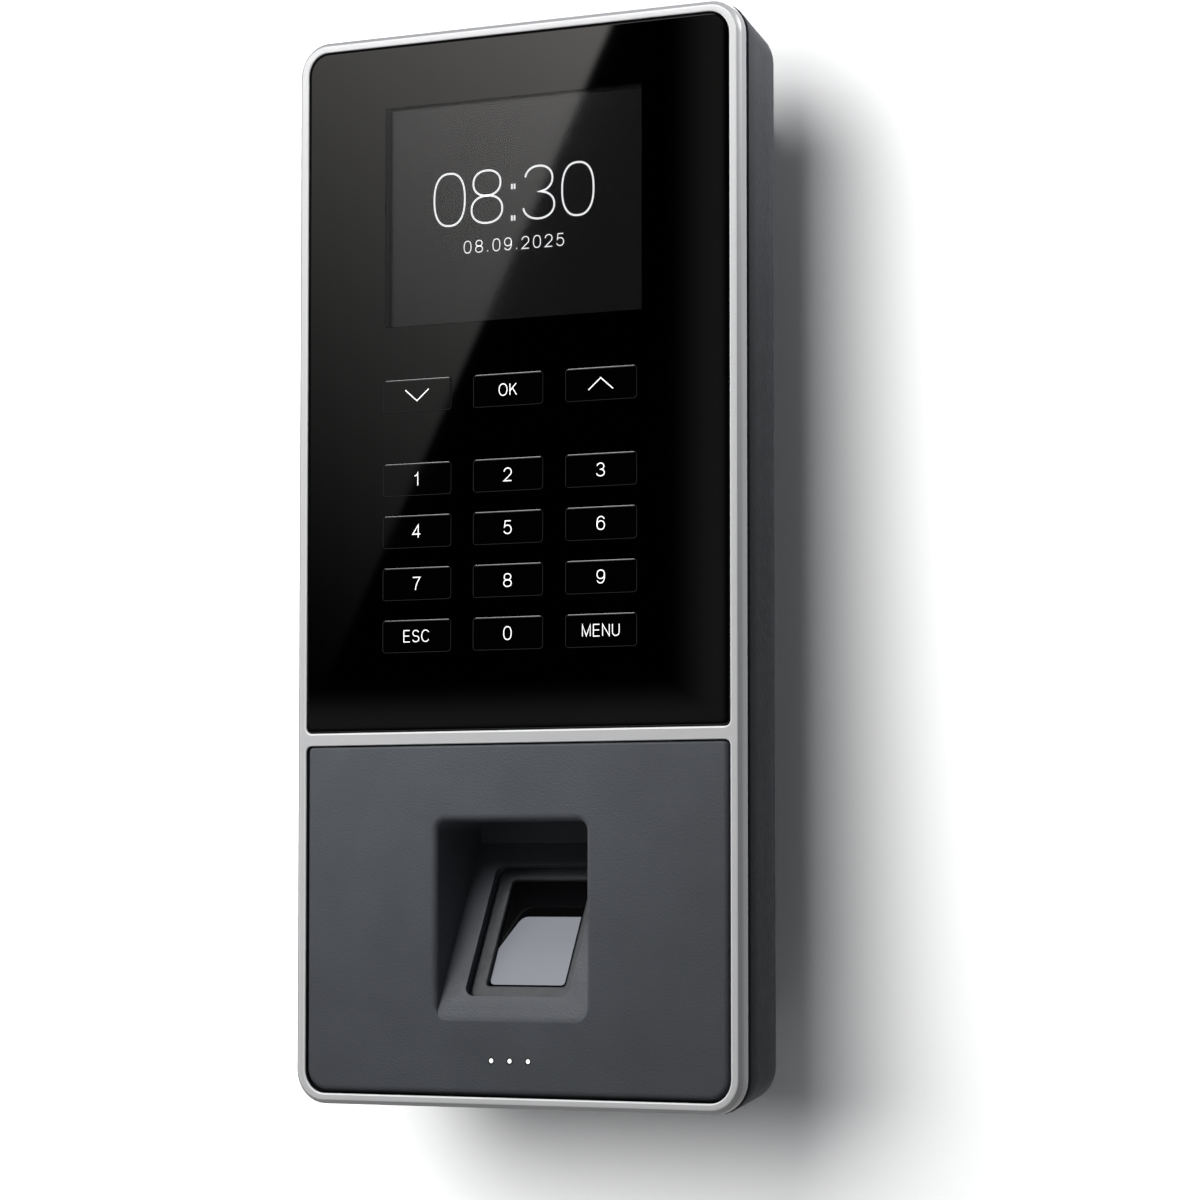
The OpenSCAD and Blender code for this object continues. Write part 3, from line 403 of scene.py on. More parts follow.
# Pale plate under the sensor's glass: partly the prism's face, partly a painted reflection.
SENSOR_REFLECTION_PLATE = polished("sensor_reflection_plate", (0.24, 0.25, 0.29), 0.3, Specular_IOR_Level=0.3)
LIGHT_PIPE = glowing("light_pipe", (1.0, 1.0, 0.98), 1.0)
SILICONE = moulded("silicone", (0.06, 0.06, 0.065), 0.7, 2000, 0.15)
BOARD = moulded("circuit_board", (0.01, 0.09, 0.04), 0.35, 1500, 0.1, spread=0.25)
PLATED = metal("plated_steel", (0.6, 0.6, 0.59), 0.3, 2500, stretch=(1, 1, 8))
SCREW = metal("screw_steel", (0.55, 0.55, 0.56), 0.28, 3000)
PLATE = metal("plate_steel", (0.5, 0.51, 0.52), 0.4, 1800, stretch=(8, 1, 1))
GOLD = metal("contact_gold", (0.85, 0.6, 0.22), 0.25, 3000)
FILM = polished("flat_cable", (0.42, 0.18, 0.05), 0.25)
SLOT_LOOKS = {
    "bezel_silver": SILVER, "carrier_black": CARRIER, "panel_gloss_black": GLOSS,
    "key_gloss_black": KEY_GLOSS, "clear_window": WINDOW_GLASS, "screen_glass": SCREEN,
    "charcoal_plastic": CHARCOAL, "housing_grey": HOUSING, "sensor_frame": SENSOR_FRAME,
    "sensor_prism": SENSOR_DARK, "light_pipe": LIGHT_PIPE, "silicone": SILICONE, "circuit_board": BOARD,
    "plated_steel": PLATED, "screw_steel": SCREW, "plate_steel": PLATE, "flat_cable": FILM,
}


def dress(piece, *looks):
    """Gives a piece its looks; the faces of a new piece keep their numbers."""
    if piece.data.materials:
        piece.data.materials.clear()
    for material in looks:
        piece.data.materials.append(material)


def place(piece, slot, *looks, body="terminal", nodes=()):
    """Gives a piece its looks and its body, and hides the nodes that it stands for; the slot is not used."""
    dress(piece, *looks)
    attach(piece, body)
    if nodes:
        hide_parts(*nodes)
    return piece


# CAD nodes: each gets its slot's look, and screws, sockets and plates get soft edges

SOFT_NODES = {"wall_plate": 0.25, "ethernet_jack": 0.2, "usb_socket": 0.1, "power_jack": 0.25,
              "lock_screw": 0.25, "housing_screws": 0.25, "sensor_glass": 0.15, "status_light_pipe": 0.12}
SOFT_SEGMENTS = 2


def dress_nodes():
    for part in frame["record"]["subparts"]:
        name = part["node"]
        dress(frame["nodes"][name], SLOT_LOOKS[part["material_slot"]])
        if name in SOFT_NODES:
            soften(frame["nodes"][name], SOFT_NODES[name], SOFT_SEGMENTS)


# Bezel; each point of a profile is how far it lies from the outline, and its depth

BEZEL_DEPTH = 2.8
BEZEL_OUTSIDE = ((1.05, 0.0), (0.9, 0.02), (0.76, 0.1), (0.12, 0.7), (0.03, 0.84), (0.0, 1.02), (0.0, 2.5),
                 (0.06, 2.7), (0.2, BEZEL_DEPTH))
BEZEL_INSIDE = ((0.34, 0.0), (0.19, 0.03), (0.06, 0.11), (0.0, 0.26), (0.0, BEZEL_DEPTH))
CHAMFER_BANDS, RIM_BANDS, WALL_BANDS = slice(2, 6), slice(0, 2), slice(-1, None)
# Bezel looks by band: painted shade on the outer chamfer and side, the black carrier look on the openings'
# inner walls as painted shade in the gaps round the panels, and a painted highlight on the openings' inner
# edges.
CHAMFER_SHADE_LOOK, WALL_SHADE_LOOK, RIM_HIGHLIGHT_LOOK = 1, 2, 3


def paint(bands, look):
    """Gives the faces of some bands one of their piece's looks."""
    for band in bands:
        for face in band:
            face.material_index = look


def make_bezel():
    solid = Solid()
    outside = [solid.flat(grow(BODY, -inset), d) for inset, d in BEZEL_OUTSIDE]
    paint(solid.loft(outside)[CHAMFER_BANDS], CHAMFER_SHADE_LOOK)
    openings = []
    for opening in (UPPER_OPENING, LOWER_OPENING):
        rings = [solid.flat(grow(opening, out), d) for out, d in BEZEL_INSIDE]
        bands = solid.loft(rings)
        paint(bands[RIM_BANDS], RIM_HIGHLIGHT_LOOK)
        paint(bands[WALL_BANDS], WALL_SHADE_LOOK)
        openings.append(rings)
    solid.sheet(outside[0], *[rings[0] for rings in openings])
    solid.sheet(outside[-1], *[rings[-1] for rings in openings])
    return place(solid.piece("bezel_frame"), "bezel_silver", SILVER, SILVER_PAINTED_SHADE, CARRIER, SILVER_PAINTED_HIGHLIGHT,
                 nodes=["front_bezel"])


# Upper panel with its key apertures and display window

PANEL_GAP, KEY_GAP = 0.17, 0.06
PANEL_EDGE = ((0.4, 0.3), (0.25, 0.31), (0.12, 0.34), (0.04, 0.4), (0.0, 0.5), (0.0, PANEL_BACK))


def make_upper_panel():
    solid = Solid()
    outside = [solid.flat(grow(UPPER_OPENING, -PANEL_GAP - inset), d) for inset, d in PANEL_EDGE]
    solid.loft(outside)
    holes = []
    for rect in (WINDOW, *[key_outline(name, KEY_GAP, KEY_R + KEY_GAP) for name in KEYS]):
        holes.append([solid.flat(rect, d) for d in (PANEL_FRONT, PANEL_BACK)])
        solid.loft(holes[-1])
    solid.sheet(outside[0], *[rings[0] for rings in holes])
    solid.sheet(outside[-1], *[rings[-1] for rings in holes])
    return place(solid.piece("gloss_panel"), "panel_gloss_black", GLOSS, nodes=["front_panel"])


# Keys: a face with a soft edge, a flange behind the panel and a post on the mat

KEY_FRONT = 0.18
FLANGE_FRONT, FLANGE_BACK, FLANGE_EDGE = 2.35, 3.05, 0.7
POST_BACK, POST_W, POST_H = 3.55, 6.0, 3.0
KEY_EDGE = ((0.18, KEY_FRONT), (0.09, 0.195), (0.03, 0.24), (0.0, 0.34), (0.0, FLANGE_FRONT))
KEY_LEAN = 0.55


def make_key(name):
    solid = Solid()
    node = "key_" + name
    face = key_outline(name, 0.0, KEY_R)
    flange = key_outline(name, FLANGE_EDGE, KEY_R)
    post = centred(POST_W, POST_H, KEY_R, *KEYS[name])
    rings = [solid.flat(lift(grow(face, -inset), -inset * KEY_LEAN), d) for inset, d in KEY_EDGE]
    rings += [solid.flat(flange, d) for d in (FLANGE_FRONT, FLANGE_BACK)]
    rings += [solid.flat(post, d) for d in (FLANGE_BACK, POST_BACK)]
    solid.plug(rings)
    return place(solid.piece("cap_" + name), "key_gloss_black", KEY_GLOSS, body=node, nodes=[node])


# Figures and capitals as centre lines, one unit high, with half their width


def arc(cx, cz, rx, rz, start, end, steps=24, power=2.0):
    """Points on a rounded arc, in degrees; a power over 2 gives straighter sides."""
    points = []
    for i in range(steps + 1):
        a = math.radians(start + (end - start) * i / steps)
        c, s = math.cos(a), math.sin(a)
        points.append((cx + rx * math.copysign(abs(c) ** (2 / power), c),
                       cz + rz * math.copysign(abs(s) ** (2 / power), s)))
    return points


SIX = [arc(0.0, -0.17, 0.33, 0.33, 90, 450, 40, 2.2), arc(0.02, 0.0, 0.35, 0.5, 35, 200, 28, 2.3)]
GLYPHS = {
    "0": (0.36, [arc(0, 0, 0.34, 0.5, 90, 450, 56, 2.4)]),
    "1": (0.3, [[(-0.2, 0.25), (0.0, 0.32), (0.1, 0.5), (0.1, -0.5)]]),
    "2": (0.35, [arc(0.0, 0.19, 0.33, 0.31, 175, -35, 28, 2.1) + [(-0.33, -0.5), (0.35, -0.5)]]),
    "3": (0.35, [arc(-0.02, 0.255, 0.3, 0.245, 170, -90, 28, 2.1)
                 + arc(-0.02, -0.245, 0.34, 0.255, 90, -172, 28, 2.1)]),
    "4": (0.36, [[(0.35, -0.22), (-0.36, -0.22), (0.15, 0.5), (0.15, -0.5)]]),
    "5": (0.35, [[(0.29, 0.5), (-0.21, 0.5)] + arc(-0.01, -0.17, 0.34, 0.33, 143, -160, 32, 2.1)]),
    "6": (0.35, SIX),
    "7": (0.34, [[(-0.34, 0.5), (0.33, 0.5), (0.1, 0.14), (-0.04, -0.18), (-0.1, -0.5)]]),
    "8": (0.35, [arc(0, 0.26, 0.3, 0.24, 90, 450, 40, 2.2), arc(0, -0.24, 0.34, 0.26, 90, 450, 40, 2.2)]),
    "9": (0.35, [[(-x, -z) for x, z in line] for line in SIX]),
    ".": (0.08, [[(0.0, -0.5), (0.0, -0.4)]]),
    ":": (0.11, [[(x, z), (x, z + 0.1)] for x in (-0.03, 0.03) for z in (-0.5, 0.1)]),
    "O": (0.42, [arc(0, 0, 0.4, 0.5, 90, 450, 48, 2.2)]),
    "K": (0.35, [[(-0.32, 0.5), (-0.32, -0.5)], [(0.3, 0.5), (-0.32, -0.14)], [(-0.08, 0.11), (0.34, -0.5)]]),
    "E": (0.33, [[(0.3, 0.5), (-0.3, 0.5), (-0.3, -0.5), (0.31, -0.5)], [(-0.3, 0.02), (0.25, 0.02)]]),
    "S": (0.35, [arc(0, 0.25, 0.29, 0.25, 15, 270, 28, 2.1) + arc(0, -0.25, 0.32, 0.25, 90, -165, 28, 2.1)]),
    "C": (0.39, [arc(0.02, 0, 0.39, 0.5, 38, 322, 44, 2.2)]),
    "M": (0.42, [[(-0.39, -0.5), (-0.39, 0.5), (0.0, -0.46), (0.39, 0.5), (0.39, -0.5)]]),
    "N": (0.36, [[(-0.33, -0.5), (-0.33, 0.5), (0.33, -0.5), (0.33, 0.5)]]),
    "U": (0.36, [[(-0.33, 0.5)] + arc(0, -0.17, 0.33, 0.33, 180, 360, 24, 2.1) + [(0.33, 0.5)]]),
    "<": (0.5, [[(-1.1, 0.45), (0.0, -0.45), (1.1, 0.45)]]),
    ">": (0.5, [[(-1.1, -0.45), (0.0, 0.45), (1.1, -0.45)]]),
}


# Writing, as thin flat strokes along the glyphs' lines

Style = namedtuple("Style", "cap stroke gap")
DIGIT_STYLE = Style(cap=2.65, stroke=0.21, gap=0.25)
WORD_STYLE = Style(cap=2.4, stroke=0.19, gap=0.25)
TIME_STYLE = Style(cap=10.6, stroke=0.37, gap=0.12)
DATE_STYLE = Style(cap=2.5, stroke=0.2, gap=0.42)
TIME_AT, DATE_AT = (-1.1, 71.2), (-1.0, 61.65)
KEY_LEGENDS = {"up": ">", "down": "<", "ok": "OK", "esc": "ESC", "menu": "MENU"}
PRINT_LIFT = 0.02
LEAST_STEP, CLOSING_GAP, LEAST_MITRE = 1e-4, 1e-3, 0.35


def joined(line):
    """A line's points without doubles, and whether it ends where it starts."""
    points = [Vector(line[0])]
    for p in line[1:]:
        if (Vector(p) - points[-1]).length > LEAST_STEP:
            points.append(Vector(p))
    closed = (points[0] - points[-1]).length < CLOSING_GAP
    return (points[:-1] if closed else points), closed


def stroke_corners(points, i, closed, half, front):
    """Corners of a stroke at one of its points, mitred between the ways that it comes and goes."""
    here = points[i]
    before = points[i - 1] if closed or i > 0 else None
    after = points[(i + 1) % len(points)] if closed or i < len(points) - 1 else None
    going = (after - here).normalized() if after else (here - before).normalized()
    coming = (here - before).normalized() if before else going
    normal = Vector((-coming.y - going.y, coming.x + going.x)).normalized()
    side = normal * half / max(LEAST_MITRE, normal.dot(Vector((-coming.y, coming.x))))
    left, right = here + side, here - side
    back = front + PRINT_LIFT
    return [at(p.x, d, p.y) for p, d in ((left, front), (right, front), (right, back), (left, back))]


def writing(name, text, style, x, z, surface):
    """A row of glyphs, centred at a place on a surface; the gap between them counts in cap heights."""
    size = style.cap - style.stroke
    pen = -sum(2 * GLYPHS[c][0] for c in text) / 2 - style.gap * (len(text) - 1) / 2
    solid = Solid()
    for c in text:
        half, lines = GLYPHS[c]
        pen += half
        for line in lines:
            points, closed = joined([(x + (pen + u) * size, z + v * size) for u, v in line])
            rings = [solid.ring(stroke_corners(points, i, closed, style.stroke / 2, surface - PRINT_LIFT))
                     for i in range(len(points))]
            if closed:
                solid.loft(rings, closed=True)
            else:
                solid.plug(rings)
        pen += half + style.gap
    return solid.loose_piece(name, SHARP_STROKE_ANGLE)


def make_legend(name):
    text = KEY_LEGENDS.get(name, name)
    style = DIGIT_STYLE if len(text) == 1 else WORD_STYLE
    place(writing("legend_" + name, text, style, *KEYS[name], KEY_FRONT), "light_pipe", LIT_WHITE,
          body="key_" + name)


def make_screen_figures():
    for name, text, style, where in (("time_figures", "08:30", TIME_STYLE, TIME_AT),
                                     ("date_figures", "08.09.2025", DATE_STYLE, DATE_AT)):
        place(writing(name, text, style, *where, SCREEN_FRONT), "light_pipe", LIT_WHITE)


# Black mask round the lit part of the screen: partly the screen's own dark border, partly painted shade,
# widest at the top, for the shade that the window's edge casts on the screen behind it

MASK_SIDE, MASK_TOP, MASK_BOTTOM, MASK_OUT = 0.25, 0.65, 0.1, 0.45
MASK_R, MASK_T = 0.1, 0.06


def make_screen_border_and_shade():
    lit = Rect(WINDOW.left + MASK_SIDE, WINDOW.right - MASK_SIDE, WINDOW.low + MASK_BOTTOM,
               WINDOW.high - MASK_TOP, MASK_R, MASK_R)
    outside = grow(WINDOW, MASK_OUT)
    front = SCREEN_FRONT - MASK_T
    steps = ((outside, SCREEN_FRONT), (outside, front), (lit, front), (lit, SCREEN_FRONT))
    solid = Solid()
    solid.loft([solid.flat(rect, d) for rect, d in steps], closed=True)
    place(solid.piece("screen_border_painted_shade"), "carrier_black", CARRIER)


# Lower panel with the finger recess and its ramp

RECESS = Rect(-17.3, 15.9, -86.41, -49.61, 3.0, 2.0)
RECESS_DEPTH, RECESS_WALL = 17.1, 1.7
RAMP_START, RAMP_SLOPE = 0.8, math.tan(RAMP_ANGLE)
LOWER_EDGE_R, TOP_EDGE_R = 1.3, 0.6
LOWER_GAP_NEAR, LOWER_GAP_FAR = 0.1, 0.32
LIP_R, FOOT_R = 1.3, 3.5
LIP_STEPS, WALL_STEPS, SIDE_STEPS = 8, 14, 6
LEAST_WALL = 0.06
SENSOR_GAP, SENSOR_HOLE_R, LIGHT_GAP = 0.3, 2.1, 0.1
CUT_PAST = 1.0
HOLE_EDGE, HOLE_SEGMENTS, HOLE_ANGLE = 0.22, 3, 50


def ramp_height(d):
    """Height of the ramp's face at a depth."""
    return RECESS.low + (d - RAMP_START) / RAMP_SLOPE


FOOT_START = ramp_height(PANEL_FRONT) - FOOT_R * math.tan(RAMP_ANGLE / 2)
FOOT_RISE = FOOT_R * math.sin(RAMP_ANGLE)
SIDE_START = FOOT_START + RECESS.low_r


def ramp_depth(z):
    """Depth of the ramp at a height, with a soft bend where it leaves the panel's face."""
    rise = max(z - FOOT_START, 0.0)
    if rise > FOOT_RISE:
        return min(RECESS_DEPTH, RAMP_START + (z - RECESS.low) * RAMP_SLOPE)
    depth = FOOT_R - math.sqrt(FOOT_R ** 2 - rise ** 2)
    return PANEL_FRONT + (depth if depth > LEAST_WALL else 0.0)


def recess_edge():
    """Points round the recess from its lower right corner, with the way out of it at each."""
    x0, x1, _, z1, low_r, high_r = RECESS
    turns = quarter_turn(CORNER_STEPS)
    side = ramp_height(RECESS_DEPTH) - SIDE_START
    right = [(x1 - low_r * (1 - math.sin(a)), SIDE_START - low_r * math.cos(a), a - QUARTER) for a in turns]
    right += [(x1, SIDE_START + side * i / SIDE_STEPS, 0.0) for i in range(1, SIDE_STEPS + 1)]
    right += [(x1 - high_r * (1 - math.cos(a)), z1 - high_r * (1 - math.sin(a)), a) for a in turns]
    return right + [(x0 + x1 - x, z, math.pi - a) for x, z, a in reversed(right)]


def recess_ring(solid, turn, down):
    """A ring of the recess: turned into its rounded lip, then some way down its wall to the ramp."""
    points = []
    for x, z, a in recess_edge():
        end = ramp_depth(z)
        lip = min(LIP_R, end - PANEL_FRONT)
        out, d = lip * (1 - math.sin(turn)), PANEL_FRONT + lip * (1 - math.cos(turn))
        points.append(at(x + out * math.cos(a), d + (end - d) * down, z + out * math.sin(a)))
    return solid.ring(points)


def recess_back(solid, step):
    """A ring of the recess's shell behind the panel, some steps down its depth."""
    d = PANEL_BACK + (RECESS_DEPTH + RECESS_WALL - PANEL_BACK) * step / WALL_STEPS
    low = ramp_height(d - RECESS_WALL / math.cos(RAMP_ANGLE))
    return solid.flat(Rect(RECESS.left - RECESS_WALL, RECESS.right + RECESS_WALL, low,
                           RECESS.high + RECESS_WALL, RECESS.high_r, RECESS.high_r), d)


def lower_outline(part):
    """Outline of the lower panel, drawn in by a part of its rounded edge."""
    edge, top_edge = LOWER_EDGE_R * part, TOP_EDGE_R * part
    return Rect(LOWER_OPENING.left + LOWER_GAP_NEAR + edge, LOWER_OPENING.right - LOWER_GAP_FAR - edge,
                LOWER_OPENING.low + LOWER_GAP_FAR + edge, LOWER_OPENING.high - LOWER_GAP_NEAR - top_edge,
                LOWER_OPENING.low_r - edge, max(LOWER_OPENING.high_r - edge, TINY))


def panel_cutter():
    """What is cut from the lower panel: the sensor's hole in the ramp and a hole for each light."""
    solid = Solid()
    hole = centred(SENSOR_W + 2 * SENSOR_GAP, SENSOR_L + 2 * SENSOR_GAP, SENSOR_HOLE_R)
    solid.plug([solid.ramp(hole, n) for n in (-CUT_PAST, RECESS_WALL + 2 * CUT_PAST)])
    for number in LIGHTS:
        solid.block(light_disc(number, LIGHT_R + LIGHT_GAP), -CUT_PAST, PANEL_BACK + CUT_PAST)
    return solid.piece("panel_cutter")


def make_lower_panel():
    solid = Solid()
    outside = [solid.flat(lower_outline(1 - math.sin(a)), PANEL_FRONT + LOWER_EDGE_R * (1 - math.cos(a)))
               for a in quarter_turn(LIP_STEPS)]
    outside.append(solid.flat(lower_outline(0.0), PANEL_BACK))
    inside = [recess_ring(solid, a, 0.0) for a in quarter_turn(LIP_STEPS)]
    inside.append(recess_ring(solid, QUARTER, 1.0))
    behind = [recess_back(solid, step) for step in range(WALL_STEPS + 1)]
    for rings in (outside, inside, behind):
        solid.loft(rings)
    solid.sheet(outside[0], inside[0])
    solid.sheet(outside[-1], behind[0])
    solid.cap(behind[-1])
    ramp = inside[-1]
    for i in range(len(ramp) // 2 - 1):
        rung = solid.bm.faces.new((ramp[i], ramp[i + 1], ramp[-i - 2], ramp[-i - 1]))
        if i > CORNER_STEPS:
            solid.flats.append(rung)
    panel = solid.piece("finger_panel")
    cut(panel, panel_cutter())
    soften_above(panel, SIDE_START, HOLE_EDGE, HOLE_SEGMENTS, HOLE_ANGLE)
    return place(panel, "charcoal_plastic", CHARCOAL, nodes=["lower_panel"])


# Dark collars round the three lights

COLLAR_IN, COLLAR_OUT = 0.44, 0.74
COLLAR_EDGE, COLLAR_LIFT = 0.06, 0.03


def make_light_collars():
    solid = Solid()
    top = PANEL_FRONT - COLLAR_LIFT
    for number in LIGHTS:
        wide, narrow = light_disc(number, COLLAR_OUT), light_disc(number, COLLAR_IN)
        steps = ((wide, PANEL_FRONT), (grow(wide, -COLLAR_EDGE), top), (grow(narrow, COLLAR_EDGE), top),
                 (narrow, PANEL_FRONT))
        solid.loft([solid.flat(rect, d) for rect, d in steps], closed=True)
    place(solid.piece("light_collars"), "carrier_black", CARRIER)


# Finger sensor: its frame, and the pale plate under its window: partly the prism's face, partly a painted
# reflection of the light that the glass gives back

GLASS_W, GLASS_L, GLASS_TOP = 17.5, 22.7, 2.3
SENSOR_TOP, SENSOR_BACK, SENSOR_FLANGE, SENSOR_FLANGE_TOP = 1.5, 3.3, 2.4, 1.76
SENSOR_R, SENSOR_FLANGE_R, SENSOR_WINDOW_R = 1.9, 2.0, 0.7
SENSOR_INSIDE = ((0.0, SENSOR_BACK), (0.0, 1.75), (0.08, 1.6), (0.25, 1.52), (0.45, SENSOR_TOP))
SENSOR_OUTSIDE = ((0.45, SENSOR_TOP), (0.2, 1.53), (0.05, 1.63), (0.0, 1.75))
WINDOW_SHIFT, WINDOW_RISE = 0.6, 0.15
PLATE_LEFT, PLATE_RIGHT, PLATE_LOW, PLATE_TOP = -8.6, 8.1, -10.6, 3.9
PLATE_SLANT_LOW, PLATE_SLANT_TOP = -3.0, -5.2
LEFT_CORNER = ((0.0, 1.0), (0.3, 0.3), (1.0, 0.0))
RIGHT_CORNER = ((-0.6, 0.0), (-0.18, 0.18), (0.0, 0.6))
SLANT_CORNER = ((1.6, 0.0), (0.9, -0.1), (0.2, -0.5), (-0.4, -1.2))
PLATE_ABOVE, PLATE_BELOW = 0.03, 0.05


def make_sensor_frame():
    solid = Solid()
    outside = centred(SENSOR_W, SENSOR_L, SENSOR_R)
    window = centred(GLASS_W, GLASS_L, SENSOR_WINDOW_R, WINDOW_SHIFT, WINDOW_RISE)
    flange = centred(SENSOR_W + 2 * SENSOR_FLANGE, SENSOR_L + 2 * SENSOR_FLANGE, SENSOR_FLANGE_R)
    rings = [solid.ramp(grow(window, out), n) for out, n in SENSOR_INSIDE]
    rings += [solid.ramp(grow(outside, -inset), n) for inset, n in SENSOR_OUTSIDE]
    rings += [solid.ramp(flange, n) for n in (SENSOR_FLANGE_TOP, SENSOR_BACK)]
    solid.loft(rings, closed=True)
    place(solid.piece("sensor_surround"), "sensor_frame", SENSOR_FRAME, nodes=["sensor_bezel"])


def plate_points():
    """Points round the pale plate: two round corners, a square one and a slanting one."""
    points = [(PLATE_LEFT + u, PLATE_LOW + v) for u, v in LEFT_CORNER]
    points += [(PLATE_RIGHT + u, PLATE_LOW + v) for u, v in RIGHT_CORNER]
    points.append((PLATE_RIGHT, PLATE_TOP))
    points += [(PLATE_SLANT_TOP + u, PLATE_TOP + v) for u, v in SLANT_CORNER]
    points.append((PLATE_LEFT, PLATE_SLANT_LOW))
    return points


def make_sensor_reflection_plate():
    solid = Solid()
    solid.plug([solid.ring([on_ramp(u + WINDOW_SHIFT, v, n) for u, v in plate_points()])
                for n in (GLASS_TOP - PLATE_ABOVE, GLASS_TOP + PLATE_BELOW)])
    place(solid.piece("sensor_reflection_plate"), "sensor_prism", SENSOR_REFLECTION_PLATE)


# Rear housing: a tapered tray, the box behind it and the skirt round the wall plate

TRAY_FRONT, TRAY_MIDDLE, TRAY_BACK = 3.7, (8.0, 13.0), 19.5
TAPER_SIDE, TAPER_TOP, TAPER_BOTTOM = 2.5, 3.3, 2.1
TRAY_LIP = ((0.22, 0.0), (0.06, 0.07), (0.0, 0.25))
TRAY_EDGE_R, TRAY_EDGE_STEPS, TRAY_CORNER_SHARE = 1.8, 6, 0.6
HOUSING_WALL = 2.0
BASE = Rect(-34.0, 34.0, -90.0, 90.0, 4.0, 4.0)
BASE_WALL, BASE_BACK, SKIRT_END = 1.8, 35.5, 41.7
BASE_FOOT = ((0.5, 0.0), (0.15, 0.15), (0.0, 0.5))
SKIRT_LIP = ((0.0, 0.4), (0.12, 0.1), (0.4, 0.0), (BASE_WALL, 0.0))
SCREW_X, SCREW_Z, SCREW_RECESS_R, SCREW_SEAT = 41.9, 95.75, 3.0, 13.0
HOOK_X, HOOK_Z, HOOK_SIDE, HOOK_BELOW, HOOK_ABOVE = 20.0, 35.0, 4.3, 4.6, 1.9
Socket = namedtuple("Socket", "x width front back")
NETWORK = Socket(23.65, 15.9, 20.1, 31.3)
USB = Socket(-8.0, 13.1, 25.6, 31.3)
POWER = Socket(-27.1, 9.0, 20.1, 31.3)
SOCKET_GAP, SOCKET_GAP_BACK = 0.3, 0.1
SLOT_R = 0.3
LOCK_D, LOCK_R, BORE_STEPS = 38.0, 1.65, 32
HOUSING_EDGE, HOUSING_SEGMENTS, HOUSING_ANGLE = 0.15, 2, 50


def casing(d, inset):
    """Outline of the tapered tray at a depth, drawn in on all sides."""
    share = (d - TRAY_FRONT) / (TRAY_BACK - TRAY_FRONT)
    x = BODY.right - TAPER_SIDE * share - inset
    r = CORNER_R - inset * TRAY_CORNER_SHARE
    return Rect(-x, x, BODY.low + TAPER_BOTTOM * share + inset, BODY.high - TAPER_TOP * share - inset, r, r)


def circle(r):
    """Points round the origin."""
    turns = [math.tau * i / BORE_STEPS for i in range(BORE_STEPS)]
    return [(r * math.cos(a), r * math.sin(a)) for a in turns]


def housing_cutter():
    """What is cut from the housing: screw recesses, hook slots, socket openings and the lock's hole."""
    solid = Solid()
    for x_way in (-1, 1):
        for z_way in (-1, 1):
            x, z = x_way * SCREW_X, z_way * SCREW_Z
            solid.plug([solid.ring([at(x + u, d, z + v) for u, v in circle(SCREW_RECESS_R)])
                        for d in (SCREW_SEAT, TRAY_BACK + CUT_PAST)])
            x, z = x_way * HOOK_X, z_way * HOOK_Z
            slot = Rect(x - HOOK_SIDE, x + HOOK_SIDE, z - HOOK_BELOW, z + HOOK_ABOVE, SLOT_R, SLOT_R)
            solid.block(slot, BASE_BACK - BASE_WALL - CUT_PAST, BASE_BACK + CUT_PAST)
    wall = (BASE.low - CUT_PAST, BASE.low + BASE_WALL + CUT_PAST)
    for socket in (NETWORK, USB, POWER):
        left, right = socket.x - socket.width / 2 - SOCKET_GAP, socket.x + socket.width / 2 + SOCKET_GAP
        solid.block(Rect(left, right, *wall, SLOT_R, SLOT_R),
                    socket.front - SOCKET_GAP, socket.back + SOCKET_GAP_BACK)
    solid.plug([solid.ring([at(u, LOCK_D + v, z) for u, v in circle(LOCK_R)]) for z in wall])
    return solid.piece("housing_cutter")


def make_housing():
    solid = Solid()
    shell = [solid.flat(casing(TRAY_FRONT, inset), TRAY_FRONT + d) for inset, d in TRAY_LIP]
    shell += [solid.flat(casing(d, 0.0), d) for d in TRAY_MIDDLE]
    for a in quarter_turn(TRAY_EDGE_STEPS):
        d = TRAY_BACK - TRAY_EDGE_R * (1 - math.sin(a))
        shell.append(solid.flat(casing(d, TRAY_EDGE_R * (1 - math.cos(a))), d))
    shell += [solid.flat(grow(BASE, out), TRAY_BACK + d) for out, d in BASE_FOOT]
    shell += [solid.flat(grow(BASE, -inset), SKIRT_END - d) for inset, d in SKIRT_LIP]
    base_inside = grow(BASE, -BASE_WALL)
    shell.append(solid.flat(base_inside, BASE_BACK))
    tray_floor = TRAY_BACK - HOUSING_WALL
    inside = [solid.flat(casing(TRAY_FRONT, HOUSING_WALL), TRAY_FRONT),
              solid.flat(casing(tray_floor, HOUSING_WALL), tray_floor),
              solid.flat(base_inside, tray_floor), solid.flat(base_inside, BASE_BACK - BASE_WALL)]
    solid.loft(shell)
    solid.loft(inside)
    solid.loft([shell[0], inside[0]])
    solid.cap(shell[-1])
    solid.cap(inside[-1])
    casing_piece = solid.piece("rear_casing")
    cut(casing_piece, housing_cutter())
    soften(casing_piece, HOUSING_EDGE, HOUSING_SEGMENTS, HOUSING_ANGLE).use_clamp_overlap = False
    return place(casing_piece, "housing_grey", HOUSING, nodes=["rear_housing"])


# Contacts in the network socket

CONTACTS, CONTACT_PITCH, CONTACT_W, CONTACT_R = 8, 1.02, 0.45, 0.1
CONTACT_FRONT, CONTACT_BACK, CONTACT_LOW, CONTACT_HIGH = 28.7, 29.4, -87.5, -78.5


